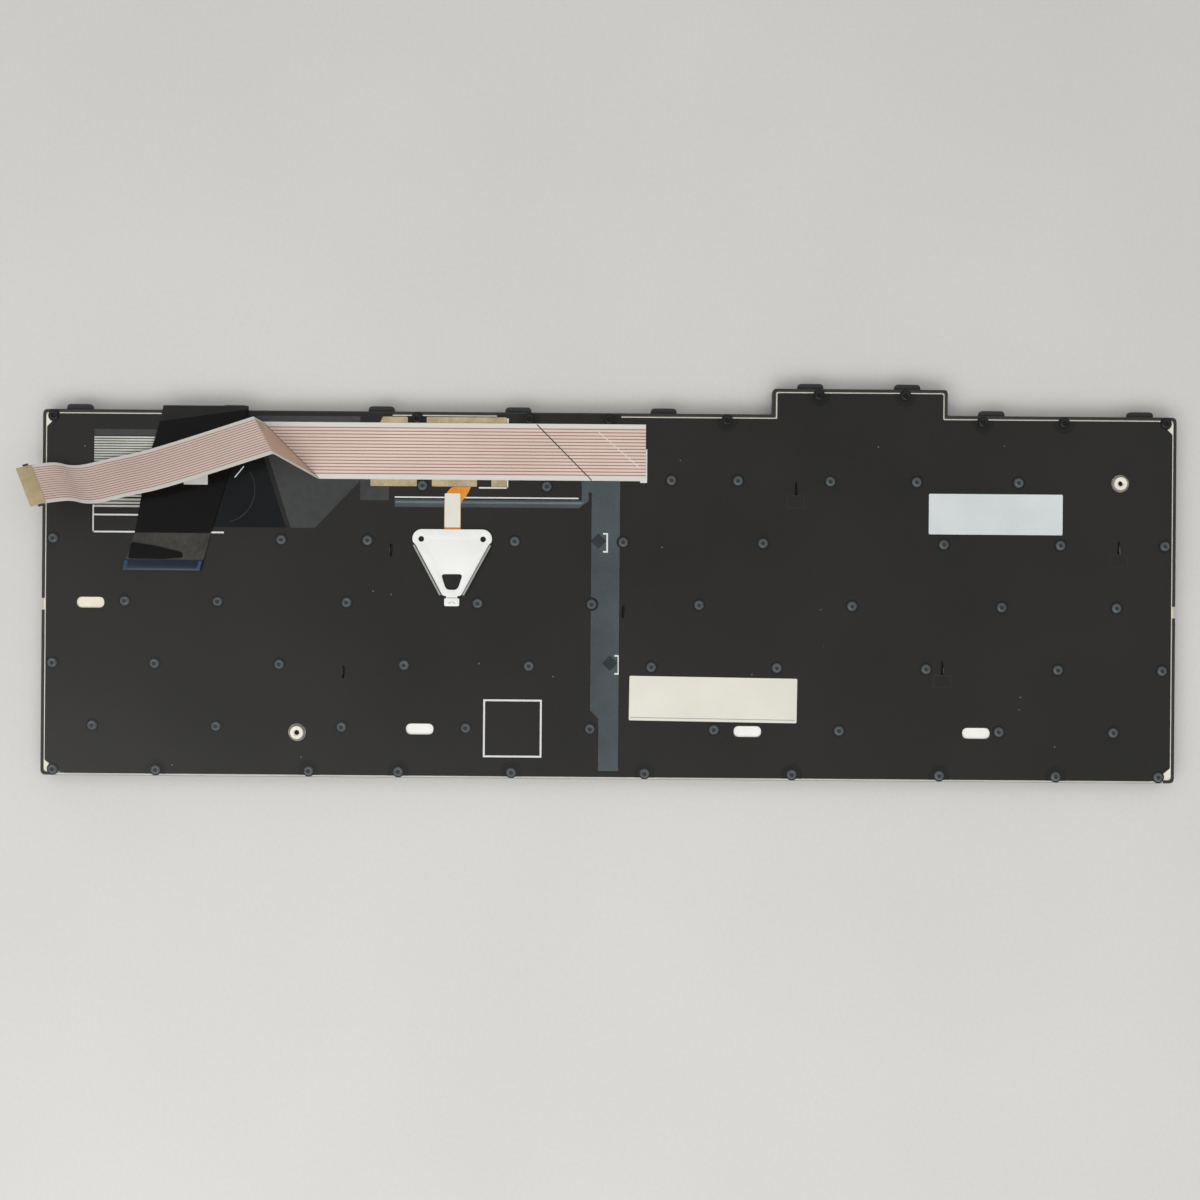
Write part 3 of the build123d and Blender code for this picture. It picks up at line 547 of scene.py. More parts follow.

# %% [markdown]
# The print runs along the ribbon: white borders and fifteen brown conductors at one millimetre. A
# number on every vertex, its distance from the front edge, carries the stripes round all the folds, and
# a second number marks the slanted facet of the fold, which is tinted browner: painted shading for the way light
# falls on it.

# %% Cable finish
cable_pink = finish("cable_pink", (206, 184, 172), (226, 206, 195), (0.25, 0.4), 0.4, 25, 0.06)
tree = cable_pink.node_tree
across = add_node(tree, "ShaderNodeAttribute", attribute_name="across").outputs["Fac"]
centred = math_node(tree, "ABSOLUTE", math_node(tree, "SUBTRACT", across, 8.6))
conductor = math_node(tree, "PINGPONG", centred, 0.5)
line_mask = math_node(tree, "LESS_THAN", conductor, 0.15)
field_mask = math_node(tree, "LESS_THAN", centred, 7.3)
fold = add_node(tree, "ShaderNodeAttribute", attribute_name="fold").outputs["Fac"]
# The browner tint of the slanted facet is painted shading, standing in for the light on its slant.
painted_facet_tint = add_node(tree, "ShaderNodeMix", data_type="RGBA")
painted_facet_tint.inputs["B"].default_value = light(218, 180, 150)
tree.links.new(math_node(tree, "MULTIPLY", fold, 0.8), painted_facet_tint.inputs["Factor"])
tree.links.new(tree.nodes["tones"].outputs["Color"], painted_facet_tint.inputs["A"])
brown = add_node(tree, "ShaderNodeMix", data_type="RGBA")
brown.inputs["B"].default_value = light(152, 112, 98)
tree.links.new(math_node(tree, "MULTIPLY", line_mask, field_mask), brown.inputs["Factor"])
tree.links.new(painted_facet_tint.outputs["Result"], brown.inputs["A"])
border = add_node(tree, "ShaderNodeMix", data_type="RGBA")
border.inputs["B"].default_value = light(212, 209, 200)
tree.links.new(math_node(tree, "GREATER_THAN", centred, 7.3), border.inputs["Factor"])
tree.links.new(brown.outputs["Result"], border.inputs["A"])
tree.links.new(border.outputs["Result"], tree.nodes["Principled BSDF"].inputs["Base Color"])
print("cable finish with conductors at 1.0 mm")

# %% Cable ribbon and its stiff end
bm = bmesh.new()
distance = bm.verts.layers.float.new("across")
folded = bm.verts.layers.float.new("fold")
rails = []
for line, value, foot, ridge in ((front_line, 0.0, -106.3, -108.4), (rear_line, 17.2, -89.3, -100.1)):
    verts = [bm.verts.new(co) for co in line]
    for vert in verts:
        vert[distance] = value
        vert[folded] = 1.0 if ridge <= vert.co.x <= foot else 0.0
    rails += [bm.edges.new(pair) for pair in zip(verts, verts[1:])]
bmesh.ops.bridge_loops(bm, edges=rails)
rungs = [e for e in bm.edges if e.verts[0][distance] != e.verts[1][distance]]
bmesh.ops.subdivide_edges(bm, edges=rungs, cuts=5, use_grid_fill=True)
bmesh.ops.recalc_face_normals(bm, faces=bm.faces)
if sum(f.normal.z for f in bm.faces) < 0:
    bmesh.ops.reverse_faces(bm, faces=bm.faces)
top = bmesh.ops.extrude_face_region(bm, geom=bm.faces[:])["geom"]
bmesh.ops.translate(bm, vec=(0.044, 0.112, 0.2), verts=[g for g in top if isinstance(g, bmesh.types.BMVert)])
matrix_cable = piece(bm, "matrix_cable_ribbon", "keyboard", [cable_pink], "cable_pink", "matrix_cable")

bm = bmesh.new()
end_front, end_rear = Vector((-175.64, 33.58, 8.45)), Vector((-167.4, 21.5, 18.05))
ahead, rise = Vector((-4.3, -1.3, 1.0)), Vector((0.077, 0.195, 0.35))
sides = Matrix((ahead, end_rear - end_front, rise)).transposed().to_4x4()
centre = Matrix.Translation((end_front + end_rear + ahead + rise) / 2)
bmesh.ops.create_cube(bm, size=1.0, matrix=centre @ sides)
bmesh.ops.bevel(bm, geom=bm.edges[:], offset=0.08, segments=2, profile=0.5, affect="EDGES", material=-1)
for corner, side in ((end_front, -0.02), (end_rear, 0.02)):
    ear = Matrix.Translation(corner + ahead * 0.35 + (end_rear - end_front) * side + rise * 0.7)
    made = bmesh.ops.create_cube(bm, size=1.0, matrix=ear @ sides @ Matrix.Diagonal((0.36, 0.06, 0.4, 1)))
    for face in {f for v in made["verts"] for f in v.link_faces}:
        face.material_index = 1
cable_end = piece(bm, "matrix_cable_end", "keyboard", [stiffener_beige, frame_black], "stiffener_beige",
                  "matrix_cable_stiffener")

# %% [markdown]
# Thin lines lie on the foil: a dark one at the foot of the slanting fold, which is a painted shadow in the crease, a
# dark seam near its right end, and a pale line beside it, which is a painted highlight on a crease. A white backing
# peeps out at the end itself.

# %% Creases of the cable


def stroke(bm, start, end, width, z0, z1, index=0):
    start, end = Vector(start), Vector(end)
    side = (end - start).normalized().orthogonal() * width / 2
    for face in plate(bm, [[start - side, end - side, end + side, start + side]], z0, z1):
        for other in {f for v in face.verts for f in v.link_faces}:
            other.material_index = index


bm = bmesh.new()
# Dark line at the foot of the slanting fold: painted shadow.
stroke(bm, (-106.0, 47.5), (-88.9, 30.5), 0.35, 5.64, 5.67)
stroke(bm, (-22.3, 47.5), (-5.4, 30.5), 0.3, 5.64, 5.665)
# Pale line beside the seam: painted highlight on a crease.
stroke(bm, (-3.4, 45.3), (9.5, 34.2), 0.22, 5.64, 5.66, 1)
stroke(bm, (11.15, 30.0), (11.15, 40.2), 0.7, 5.36, 5.44, 1)
stroke(bm, (9.4, 30.2), (11.4, 30.2), 0.6, 5.36, 5.43, 1)
piece(bm, "cable_creases", "keyboard", [ring_black, print_white], "cable_pink")

# %% [markdown]
# ## The black film and its openings
# The film is one cut sheet. Its edge is scalloped where a melted plastic stake stands on the rim, and
# round holes, slots, slits and the channel of the light strip go through it. Cutting these from a solid
# would need many booleans; filling one outline with all its holes gives the same sheet at once.

# %% Film outline
film_left, film_rear, cut_back = -172.1, -60.15, 4.0
film_front, film_step, film_over = 49.83, 57.73, 50.6
step_left, step_right = 51.17, 101.99
corners = [(film_left, film_rear + cut_back), (film_left + cut_back, film_rear + 0.7),
           (film_left + cut_back + 2, film_rear),
           (-film_left - cut_back - 2, film_rear), (-film_left - cut_back, film_rear + 0.7),
           (-film_left, film_rear + cut_back),
           (-film_left, film_front - cut_back), (-film_left - cut_back, film_front), (step_right, film_front),
           (step_right, film_step), (step_left, film_step), (step_left, film_front), (3.5, film_front),
           (3.5, film_over), (-34.5, film_over), (-34.5, film_front), (-66.5, film_front), (-66.5, film_over),
           (-112.0, film_over), (-112.0, film_front), (film_left + cut_back, film_front),
           (film_left, film_front - cut_back)]
corner_radii = [0.3] * 8 + [0.4, 0.8, 0.8, 0.4] + [0.1] * 8 + [0.3, 0.3]
scallop = 3.3
seats = []
film_loop = []
base_loop = rounded(corners, corner_radii)
for start, end in zip(base_loop, base_loop[1:] + base_loop[:1]):
    film_loop.append(start)
    if abs(start.y - end.y) > 0.01 or abs(start.x - end.x) < 20:
        continue
    sense = 1 if end.x > start.x else -1
    span = sorted((start.x, end.x))
    close = [s for s in stakes if abs(s.y - start.y) < scallop - 0.1 and span[0] + scallop < s.x < span[1] - scallop]
    for stake in sorted(close, key=lambda s: sense * s.x):
        drop = start.y - stake.y
        half = sqrt(scallop ** 2 - drop ** 2)
        first = atan2(drop, -sense * half)
        sweep = pi + 2 * asin(abs(drop) / scallop)
        arc = [stake.to_2d() + scallop * Vector((cos(first - sweep * k / 12), sin(first - sweep * k / 12)))
               for k in range(13)]
        film_loop += arc
        seats.append(arc)
print("scallops", len(seats))

# %% Film holes and sheet
slots = [(-158.4, -7.9), (-57.44, -45.9), (42.77, -45.9), (112.68, -45.9)]
slits = [(-66.58, 8.75), (-80.87, -28.65), (4.48, -9.6), (57.05, 28.5), (102.2, -26.05), (155.92, 11.15)]
lens = [(-0.3, 1.95), (0.35, 1.95), (0.54, 1.0), (0.5, -0.4), (0.2, -1.6), (-0.05, -2.0), (-0.35, -1.7),
        (-0.54, -0.8),
        (-0.54, 1.0)]
needle = [(-0.42, -2.05), (0.42, -2.05), (0.52, -1.2), (0.4, 0.8), (0.14, 2.05), (-0.14, 2.05), (-0.36, 0.5)]
inserts = [(low + high) / 2 for low, high in solids("threaded_inserts")]
strip = [(-2.77, -58.28), (3.25, -58.28), (3.25, 30.3), (-8.4, 30.3), (-8.4, 24.3), (-65.63, 24.3),
         (-65.63, 22.05), (-9.4, 22.05), (-6.35, 24.2), (-6.35, 26.8), (-5.35, 26.8), (-5.35, -39.82),
         (-2.77, -42.4)]
loops = [film_loop]
for stake in stakes:
    on_edge = stake.y > 45 or stake.y < -57
    on_strip = -7.6 < stake.x < 5.5 and stake.y < 31
    if not on_edge and not on_strip:
        loops.append(disc(stake.x, stake.y, 1.95))
for x, y in slots:
    loops.append(rounded(box_corners(x - 4.2, y - 1.65, x + 4.2, y + 1.65), 1.62, 6))
for x, y in slits:
    loops.append([(x + u, y + v) for u, v in (needle if x > 10 else lens)])
for spot in inserts:
    loops.append(disc(spot.x, spot.y, 2.7, 28))
loops.append(box_corners(-51.41, 8.25, -44.41, 15.25))
loops.append(strip)
bm = bmesh.new()
plate(bm, loops, 5.25, 5.35)
# The half discs in the scallops sit a little lower in a darker film: painted shade of the film pressed down round
# each edge stake.
for arc in seats:
    middle = sum(arc, Vector((0, 0))) / len(arc)
    for face in plate(bm, [[p + (p - middle) * 0.02 for p in arc]], 5.252, 5.29):
        face.material_index = 1
piece(bm, "black_back_film", "keyboard", [black_film, shade_and_sheen_film], "black_film", "light_shield_film")

bm = bmesh.new()
for x, y in slots:
    for face in plate(bm, [rounded(box_corners(x - 4.3, y - 1.75, x + 4.3, y + 1.75), 1.7, 6)], 4.96, 5.0):
        face.material_index = int(x < -100)
rear_line = box_corners(-170.0, -60.68, 170.0, -60.1)
for face in plate(bm, [rear_line], 5.13, 5.16):
    face.material_index = 2
piece(bm, "slot_backing", "keyboard", [reflector, slot_cream, track_pale], "label_white")

# %% [markdown]
# ## Printed marks on the film
# White ink on the film gives a square, a striped window over the printed tracks, a box below it and a
# few corner marks. Ink has hardly any thickness, so each mark is a bar two hundredths of a millimetre
# high that stands on the film.

# %% Printed marks
bm = bmesh.new()


def ink(x0, y0, x1, y1, z=5.35):
    block(bm, x0, y0, z - 0.005, x1, y1, z + 0.015)


def ink_frame(x0, y0, x1, y1, line):
    hole = box_corners(x0 + line, y0 + line, x1 - line, y1 - line)
    plate(bm, [box_corners(x0, y0, x1, y1), hole], 5.345, 5.365)


for k in range(24):
    ink(-157.6, 42.4 - 0.78 * k, -138.1, 42.9 - 0.78 * k)
for y in (21.3, 22.3, 23.3):
    ink(-157.6, y, -138.1, y + 0.6)
tracks = len(bm.faces)
ink(-157.6, 43.2, -138.1, 45.1)
band = len(bm.faces)
for x, y in slits:
    if x > 10:
        ink_frame(x - 2.7, y - 5.9, x + 2.7, y - 2.1, 0.16)
pressed = len(bm.faces)
ink_frame(-38.05, -54.35, -20.15, -36.65, 0.55)
ink(-157.99, 13.5, -117.8, 14.0)
ink(-158.0, 13.51, -157.6, 22.0)
ink(-157.61, 18.7, -138.1, 19.2)
ink(-65.6, 24.8, -9.4, 25.2)
ink(-39.9, 27.8, -30.96, 28.25)
ink(-31.4, 27.81, -30.95, 49.3)
bm.faces.ensure_lookup_table()
for spot, face in enumerate(bm.faces):
    face.material_index = (spot < pressed) + (spot < band) + (spot < tracks)
piece(bm, "film_marks", "keyboard", [print_white, frame_black, grey_film, track_pale], "label_white")

# %% [markdown]
# ## The light strip
# A blue-grey printed strip lies in a channel of the film and brings current to the lights. Two dark
# diamonds and white corner marks show where parts sit below it.

# %% Light strip
bm = bmesh.new()
inner = [(-2.74, -58.25), (3.22, -58.25), (3.22, 30.27), (-8.37, 30.27), (-8.37, 24.27), (-65.6, 24.27),
         (-65.6, 22.08), (-9.41, 22.08), (-6.38, 24.21), (-6.38, 26.83), (-5.32, 26.83), (-5.32, -39.83),
         (-2.74, -42.41)]
plate(bm, [inner], 5.25, 5.335)
for face in plate(bm, [[(-65.4, 23.2), (-8.6, 23.2), (-7.8, 23.8), (-65.4, 23.8)]], 5.33, 5.342):
    face.material_index = 3
for x, y in ((-3.2, 12.0), (0.55, -25.3)):
    for face in plate(bm, [[(x - 2.4, y), (x, y - 2.4), (x + 2.4, y), (x, y + 2.4)]], 5.33, 5.345):
        face.material_index = 1
    clasp = [(1.4, 2.0), (2.4, 2.0), (2.4, -3.0), (1.4, -3.0), (1.4, -3.5), (2.9, -3.5), (2.9, 2.5), (1.4, 2.5)]
    for face in plate(bm, [[(x + u, y + v) for u, v in clasp]], 5.33, 5.345):
        face.material_index = 2
piece(bm, "light_strip", "keyboard", [strip_film, patch_dark, print_white, strip_pale],
      "blue_grey_film", "led_strip")

# %% [markdown]
# ## Stakes and inserts
# Sixty-four plastic posts come through the layers and are melted over into low round heads with a small
# dimple. One profile is spun round each post's axis. The two threaded inserts are turned metal bushes:
# a chamfered rim, a countersink, and a bore with a few thread grooves.

# %% Stake heads
bm = bmesh.new()
head = [(0.0, 5.6), (0.48, 5.62), (0.7, 5.93), (0.95, 5.98), (1.28, 5.8), (1.45, 5.5), (1.5, 5.38), (1.7, 5.36)]
# The wide skirt round the inner heads covers the edge of the film's hole in near-black: painted shade.
narrow, wide = [(1.85, 5.37)], [(1.85, 5.37), (2.1, 5.36), (2.1, 5.352)]
foot = [(1.8, 5.352), (1.8, 5.3), (0.0, 5.3)]
for stake in stakes:
    at_edge = stake.y > 45 or stake.y < -57
    first = len(bm.faces)
    turned(bm, head + (narrow if at_edge else wide) + foot, 16, stake.x, stake.y)
    bm.faces.ensure_lookup_table()
    # The foot, the skirt and the lowest edge of each head are near-black: painted shade round the post. The dimple
    # is darker than the head: painted shade in its hollow. Heads on the front row are near-black all over.
    for face in bm.faces[first:]:
        middle = face.calc_center_median()
        shaded_dimple = (middle - stake).to_2d().length < 0.5
        face.material_index = 1 if middle.z < 5.4 or stake.y > 45 else 2 * shaded_dimple
piece(bm, "round_stake_heads", "keyboard", [stake_black, ring_black, frame_black], "black_film",
      "stake_heads")

# %% Threaded inserts
bm = bmesh.new()
bush = [(0.8, 4.96), (0.8, 5.1)]
for k in range(4):
    bush += [(0.92, 5.2 + 0.18 * k), (0.8, 5.29 + 0.18 * k)]
bush += [(1.05, 6.04), (1.14, 6.14), (1.88, 6.14), (1.98, 6.04), (1.98, 5.42), (2.38, 5.42), (2.46, 5.34),
         (2.46, 4.96),
         (0.8, 4.96)]
for spot in inserts:
    turned(bm, bush, 32, spot.x, spot.y)
walls = len(bm.faces)
# The low flange outside the post takes a darker grey than the same metal above: painted shade.
for face in bm.faces:
    if min((face.calc_center_median() - spot).to_2d().length for spot in inserts) > 2.05:
        face.material_index = 2
for spot in inserts:
    # A black disc closes each bore: painted shade at the bottom of the hole.
    turned(bm, [(0.0, 5.0), (0.79, 5.0), (0.79, 4.97), (0.0, 4.97)], 32, spot.x, spot.y)
bm.faces.ensure_lookup_table()
for face in bm.faces[walls:]:
    face.material_index = 1
piece(bm, "threaded_bushes", "keyboard", [insert_metal, ring_black, sensor_grey], "insert_metal",
      "threaded_inserts")

# %% [markdown]
# ## The pointing stick
# A white-painted steel bracket with folded side flanges carries the sensor of the pointing stick. It is
# stamped, so it is a plate with softened edges, two rivet holes and a window, and the flanges stand on
# its long slanting sides.

# %% Bracket
stick_x, stick_y = -47.91, 11.75
front, rear = stick_y + 3.5, stick_y - 16.9
half = [(0.0, -23.5), (2.3, -23.5), (2.3, -21.1), (1.7, -21.1), (1.7, -20.4), (2.84, -20.35), (11.14, -4.9)]
half_radii = [0, 0.6, 0.4, 0.15, 0.15, 0.9, 0.3]
lobe = [Vector((9.25 + 2.9 * cos(radians(t)), -2.9 + 2.9 * sin(radians(t)))) for t in range(-20, 91, 11)]
right = rounded(half, half_radii)[1:] + lobe
outline = right + [Vector((-p.x, p.y)) for p in reversed(right)]
outline = [p + Vector((stick_x, front)) for p in outline]
window = [(stick_x - 1.75, rear + 1.9), (stick_x + 1.75, rear + 1.9), (stick_x + 3.35, rear + 6.7),
          (stick_x - 3.35, rear + 6.7)]
bm = bmesh.new()
holes = [disc(stick_x + s * 9.45, front - 3.0, 0.88, 16) for s in (-1, 1)]
plate(bm, [outline, rounded(window, 1.25, 6)] + holes, 5.45, 5.95, 0.08)
metal = len(bm.faces)
for side in (-1, 1):
    flange = [(3.8, -20.35), (12.1, -4.9), (11.4, -4.65), (3.08, -20.15)]
    for face in plate(bm, [[(stick_x + side * u, front + v) for u, v in flange]], 5.45, 6.3, 0.1):
        face.material_index = 1
    turned(bm, [(0.0, 5.5), (0.86, 5.5), (0.86, 5.46), (0.0, 5.46)], 14, stick_x + side * 9.45, front - 3.0)
stroke(bm, (stick_x - 1.5, rear - 0.55), (stick_x + 1.5, rear - 0.55), 0.22, 5.94, 5.96, 1)
for side in (-1, 1):
    stroke(bm, (stick_x + side * 0.15, rear - 1.75), (stick_x + side * 1.05, rear - 2.3), 0.2, 5.94, 5.96, 1)
bm.faces.ensure_lookup_table()
for face in bm.faces[metal:]:
    face.material_index = face.material_index or 2
piece(bm, "stick_bracket_plate", "keyboard", [bracket_steel, groove_grey, ring_black], "bracket_steel",
      "stick_bracket")

# %% [markdown]
# The stick's flat flex is orange polyimide. It leaves the bracket, carries a white label and swings to
# the right before it goes under the cable. On the other side of the keyboard the red cap is soft rubber.

# %% Stick flex, tape and cap
bm = bmesh.new()
swing = [(-50.4, 11.75), (-45.4, 11.75), (-45.4, 23.6), (-43.6, 25.6), (-42.3, 28.25), (-48.2, 28.25),
         (-50.2, 25.8),
         (-50.4, 23.4)]
plate(bm, [rounded(swing, [0.1, 0.1, 1.4, 1.2, 0.2, 0.8, 1.2, 0.8])], 5.36, 5.44)
piece(bm, "orange_flex", "keyboard", [orange_film], "orange_film", "stick_flex")

bm = bmesh.new()
turned(bm, [(0.0, 0.12), (1.1, 0.13), (1.9, 0.3), (2.3, 0.75), (2.42, 1.4), (2.42, 2.45), (1.42, 2.45), (1.42, 1.1),
            (0.0, 1.1)], 24, stick_x, stick_y)
for k in range(12):
    turned(bm, [(0.0, 0.1), (0.16, 0.12), (0.26, 0.24), (0.0, 0.26)], 6, stick_x + 1.35 * cos(pi * k / 6),
           stick_y + 1.35 * sin(pi * k / 6))
piece(bm, "soft_stick_cap", "keyboard", [stick_red], "stick_red", "stick_cap")

# %% [markdown]
# ## Tapes and labels
# Thin sheets lie on the film: a tan insulating pad, a grey translucent cover and three labels, whose
# faces are left blank. They are cut like the film, with corners that are slightly rounded.

# %% Tan pad and grey cover
bm = bmesh.new()
pad_low, pad_high = node_box("tape_pad")
pad_loop = [(pad_low.x, pad_low.y), (-58.9, pad_low.y), (-58.9, 30.9), (-54.3, 30.9), (-54.3, pad_low.y),
            (-40.5, pad_low.y), (-40.5, 30.75),
            (-36.1, 30.75), (-36.1, pad_low.y), (-31.5, pad_low.y), (-31.5, pad_high.y), (-56.0, pad_high.y),
            (-56.0, 47.2), (-61.8, 47.2),
            (-61.8, pad_high.y), (-69.4, pad_high.y), (-72.0, 44.0), (pad_low.x, 40.0)]
plate(bm, [rounded(pad_loop, 0.35)], 5.36, 5.44)
piece(bm, "tan_pad", "keyboard", [tan_tape], "tan_tape", "tape_pad")

bm = bmesh.new()
cover = [(-97.37, 15.35), (-89.97, 15.35), (-76.29, 29.8), (-76.29, 49.58), (-108.35, 49.58)]
plate(bm, [rounded(cover, 0.3)], 5.355, 5.42)
plate(bm, [rounded(box_corners(-76.2, 24.0, -67.4, 30.35), 0.3)], 5.352, 5.39)
piece(bm, "grey_cover", "keyboard", [grey_film], "grey_film", "cover_tape")

# %% Labels
bm = bmesh.new()
for low, high in solids("blank_labels"):
    middle = (low + high) / 2
    width, depth = high.x - low.x, high.y - low.y
    tilt = radians(-0.6) if width > 45 else 0.0
    if tilt:
        width, depth = 51.3, 13.6
    loop = rounded(box_corners(-width / 2, -depth / 2, width / 2, depth / 2), 0.4)
    loop = [Matrix.Rotation(tilt, 2) @ p + middle.to_2d() for p in loop]
    first = len(bm.faces)
    plate(bm, [loop], low.z + 0.005, high.z - 0.01)
    bm.faces.ensure_lookup_table()
    for face in bm.faces[first:]:
        face.material_index = 1 if 30 < width < 45 else 0
    if tilt:
        ends = [Matrix.Rotation(tilt, 2) @ Vector((side * 25.2, -5.9)) + middle.to_2d() for side in (-1, 1)]
        stroke(bm, ends[0], ends[1], 0.22, high.z - 0.02, high.z - 0.004, 2)
piece(bm, "plain_labels", "keyboard", [label_paper, silver_paper, groove_grey], "label_white",
      "blank_labels")

# %% [markdown]
# ## The backlight flex
# A black foil comes from below the film, folds back over the front edge and ends in a blue stiffener. A
# profile seen from the side, from the lower layer round the fold to the upper one, is swept across.

# %% Backlight flex
bm = bmesh.new()
flex_left = [(-124.86, 15.4, 5.36), (-136.4, 51.3, 5.36), (-136.49, 52.2, 5.38), (-136.49, 52.5, 5.5),
             (-136.49, 52.5, 5.66), (-136.49, 52.2, 5.78), (-137.4, 47.6, 5.88), (-141.5, 34.0, 5.86),
             (-144.3, 16.4, 5.84), (-145.0, 13.5, 5.66), (-146.3, 9.6, 5.64), (-147.6, 5.2, 5.86)]
flex_right = [(-98.9, 15.4, 5.36), (-110.5, 51.3, 5.36), (-110.5, 52.2, 5.38), (-110.5, 52.5, 5.5),
              (-110.5, 52.5, 5.66), (-110.5, 52.2, 5.78), (-110.6, 51.4, 5.88), (-115.6, 34.0, 5.86),
              (-120.9, 16.4, 5.84), (-121.7, 13.5, 5.66), (-122.7, 9.6, 5.64), (-123.9, 5.2, 5.86)]
rails = []
for line in (flex_left, flex_right):
    verts = [bm.verts.new(co) for co in line]
    rails += [bm.edges.new(pair) for pair in zip(verts, verts[1:])]
bmesh.ops.bridge_loops(bm, edges=rails)
bmesh.ops.recalc_face_normals(bm, faces=bm.faces)
# The lower layer takes a film of its own. The drooped end takes a lighter film, a painted sheen of its bend, and the
# top fold a less dark one, also a painted sheen.
for face in bm.faces:
    middle = face.calc_center_median()
    if middle.z < 5.37:
        face.material_index = 1
    elif middle.y > 49 or middle.y < 13.4:
        face.material_index = 3 if middle.y > 49 else 2
bmesh.ops.solidify(bm, geom=bm.faces[:], thickness=0.06)
piece(bm, "folded_flex", "keyboard", [tail_film, under_film, sheen_film, shade_and_sheen_film],
      "black_film", "backlight_flex")

# %% Small marks and a painted reflection on the backlight flex
bm = bmesh.new()
# A dark patch in the tail's film on the drooped end is a painted reflection in the glossy foil.
dark_reflection = [(-146.0, 10.6), (-139.0, 9.6), (-130.4, 7.6), (-130.0, 6.0), (-136.0, 5.5), (-146.9, 5.6)]
plate(bm, [rounded(dark_reflection, 0.8)], 5.93, 5.94)
arc = [Vector((cos(radians(a)), sin(radians(a)))) for a in range(-75, 40, 5)]
ring = [p * 10.1 for p in arc] + [p * 9.95 for p in reversed(arc)]
for face in plate(bm, [[p + Vector((-118.4, 26.8)) for p in ring]], 5.43, 5.44):
    face.material_index = 1
stroke(bm, (-111.8, 34.0), (-114.6, 30.6), 0.35, 5.43, 5.45, 2)
stroke(bm, (-130.0, 30.0), (-122.7, 30.0), 3.4, 5.93, 5.96, 2)
piece(bm, "flex_marks", "keyboard", [tail_film, grey_film, print_white], "black_film")

bm = bmesh.new()
blue_outline = [(-148.5, 2.0), (-124.8, 2.0), (-124.7, 2.9), (-124.1, 4.3), (-124.1, 5.15), (-147.5, 5.15),
                (-148.1, 4.6)]
plate(bm, [rounded(blue_outline, 0.25, 2)], 5.8, 6.12, 0.06)
stroke(bm, (-148.2, 2.35), (-124.95, 2.35), 0.45, 6.11, 6.14, 2)
stroke(bm, (-147.9, 2.7), (-147.3, 4.9), 1.0, 6.11, 6.135, 1)
stroke(bm, (-125.3, 2.7), (-124.75, 4.9), 0.9, 6.11, 6.135, 1)
piece(bm, "blue_flex_end", "keyboard", [stiffener_blue, edge_blue, strip_film], "stiffener_blue",
      "backlight_flex_stiffener")

# %% [markdown]
# ## Keycaps
# Each cap is a moulded shell: a slightly dished top, soft edges, walls that lean out and a hollow below.
# The cap's box comes from its solid in the frame. Its outline, rounder at the front, is filled to make
# the top; the rim then grows into the soft edge, the wall, the skirt and the hollow. The three caps round
# the pointing stick give way to it: the part of an outline that comes too near it becomes an arc.

# %% Keycap helper
stick_room, arc_step, corner_merge = 4.4, 0.4, 0.5


def keycap(bm, outline, height=2.2):
    lean = height * tan(radians(15))
    verts = [bm.verts.new((p[0], p[1], 0.0)) for p in outline]
    edges = [bm.edges.new(pair) for pair in zip(verts, verts[1:] + verts[:1])]
    top = bmesh.ops.edgeloop_fill(bm, edges=edges)["faces"]
    for face in top:
        face.normal_update()
        if face.normal.z > 0:
            face.normal_flip()
    rim = rim_of(top)
    for vert, way in rim[1].items():
        vert.co -= way * (lean + 0.1)
    for out, up in ((0.16, 0.1), (0.1, 0.22), (lean - 0.16, height - 0.32), (-0.95, 0.0), (-0.1, 0.9 - height)):
        rim = grow(bm, rim, out, up)
    bmesh.ops.remove_doubles(bm, verts=list(rim[1]), dist=corner_merge)
    bmesh.ops.edgeloop_fill(bm, edges=[edge for edge in bm.edges if edge.is_boundary])
    bmesh.ops.inset_region(bm, faces=top, thickness=0.01, depth=0.0)
    dish = list({v for f in top for v in f.verts})
    width, depth = (max(v.co[k] for v in dish) - min(v.co[k] for v in dish) for k in (0, 1))
    middle = Vector([(max(v.co[k] for v in dish) + min(v.co[k] for v in dish)) / 2 for k in (0, 1, 2)])
    bmesh.ops.scale(bm, vec=(1 - 2.0 / width, 1 - 2.0 / depth, 1), space=Matrix.Translation(-middle), verts=dish)
    bmesh.ops.translate(bm, vec=(0, 0, 0.12), verts=dish)
    return top


def cap_outline(low, high):
    width, depth = high.x - low.x, high.y - low.y
    blend = min(width, depth) * 0.12
    corners = box_corners(low.x, low.y, high.x, high.y)
    loop = rounded(corners, [blend * 0.6, blend * 0.6, blend * 1.4, blend * 1.4], 3)
    stick = Vector((stick_x, stick_y))
    dense = []
    for a, b in zip(loop, loop[1:] + loop[:1]):
        parts = max(1, int((b - a).length / 0.2))
        dense += [(a.lerp(b, k / parts), k == 0) for k in range(parts)]
    clear = [(p - stick).length > stick_room for p, corner in dense]
    if all(clear):
        return loop
    first = next(k for k in range(len(dense)) if clear[k] and not clear[k - 1])
    last = next(k for k in range(len(dense)) if not clear[k] and clear[k - 1]) - 1
    turned_round = dense[first:] + dense[:first]
    kept = [p for p, corner in turned_round if (corner or p in (dense[first][0], dense[last][0]))
            and (p - stick).length > stick_room]
    middle = Vector((low.x + width / 2, low.y + depth / 2)) - stick
    to_start, to_end = (middle.angle_signed(p - stick) for p in (dense[last][0], dense[first][0]))
    parts = max(2, round(abs(to_end - to_start) / arc_step))
    for k in range(1, parts):
        angle = to_start + (to_end - to_start) * k / parts
        kept.append(stick + Matrix.Rotation(-angle, 2) @ middle.normalized() * stick_room)
    return kept


print("keycap helper ready")

# %% Letter and function keys


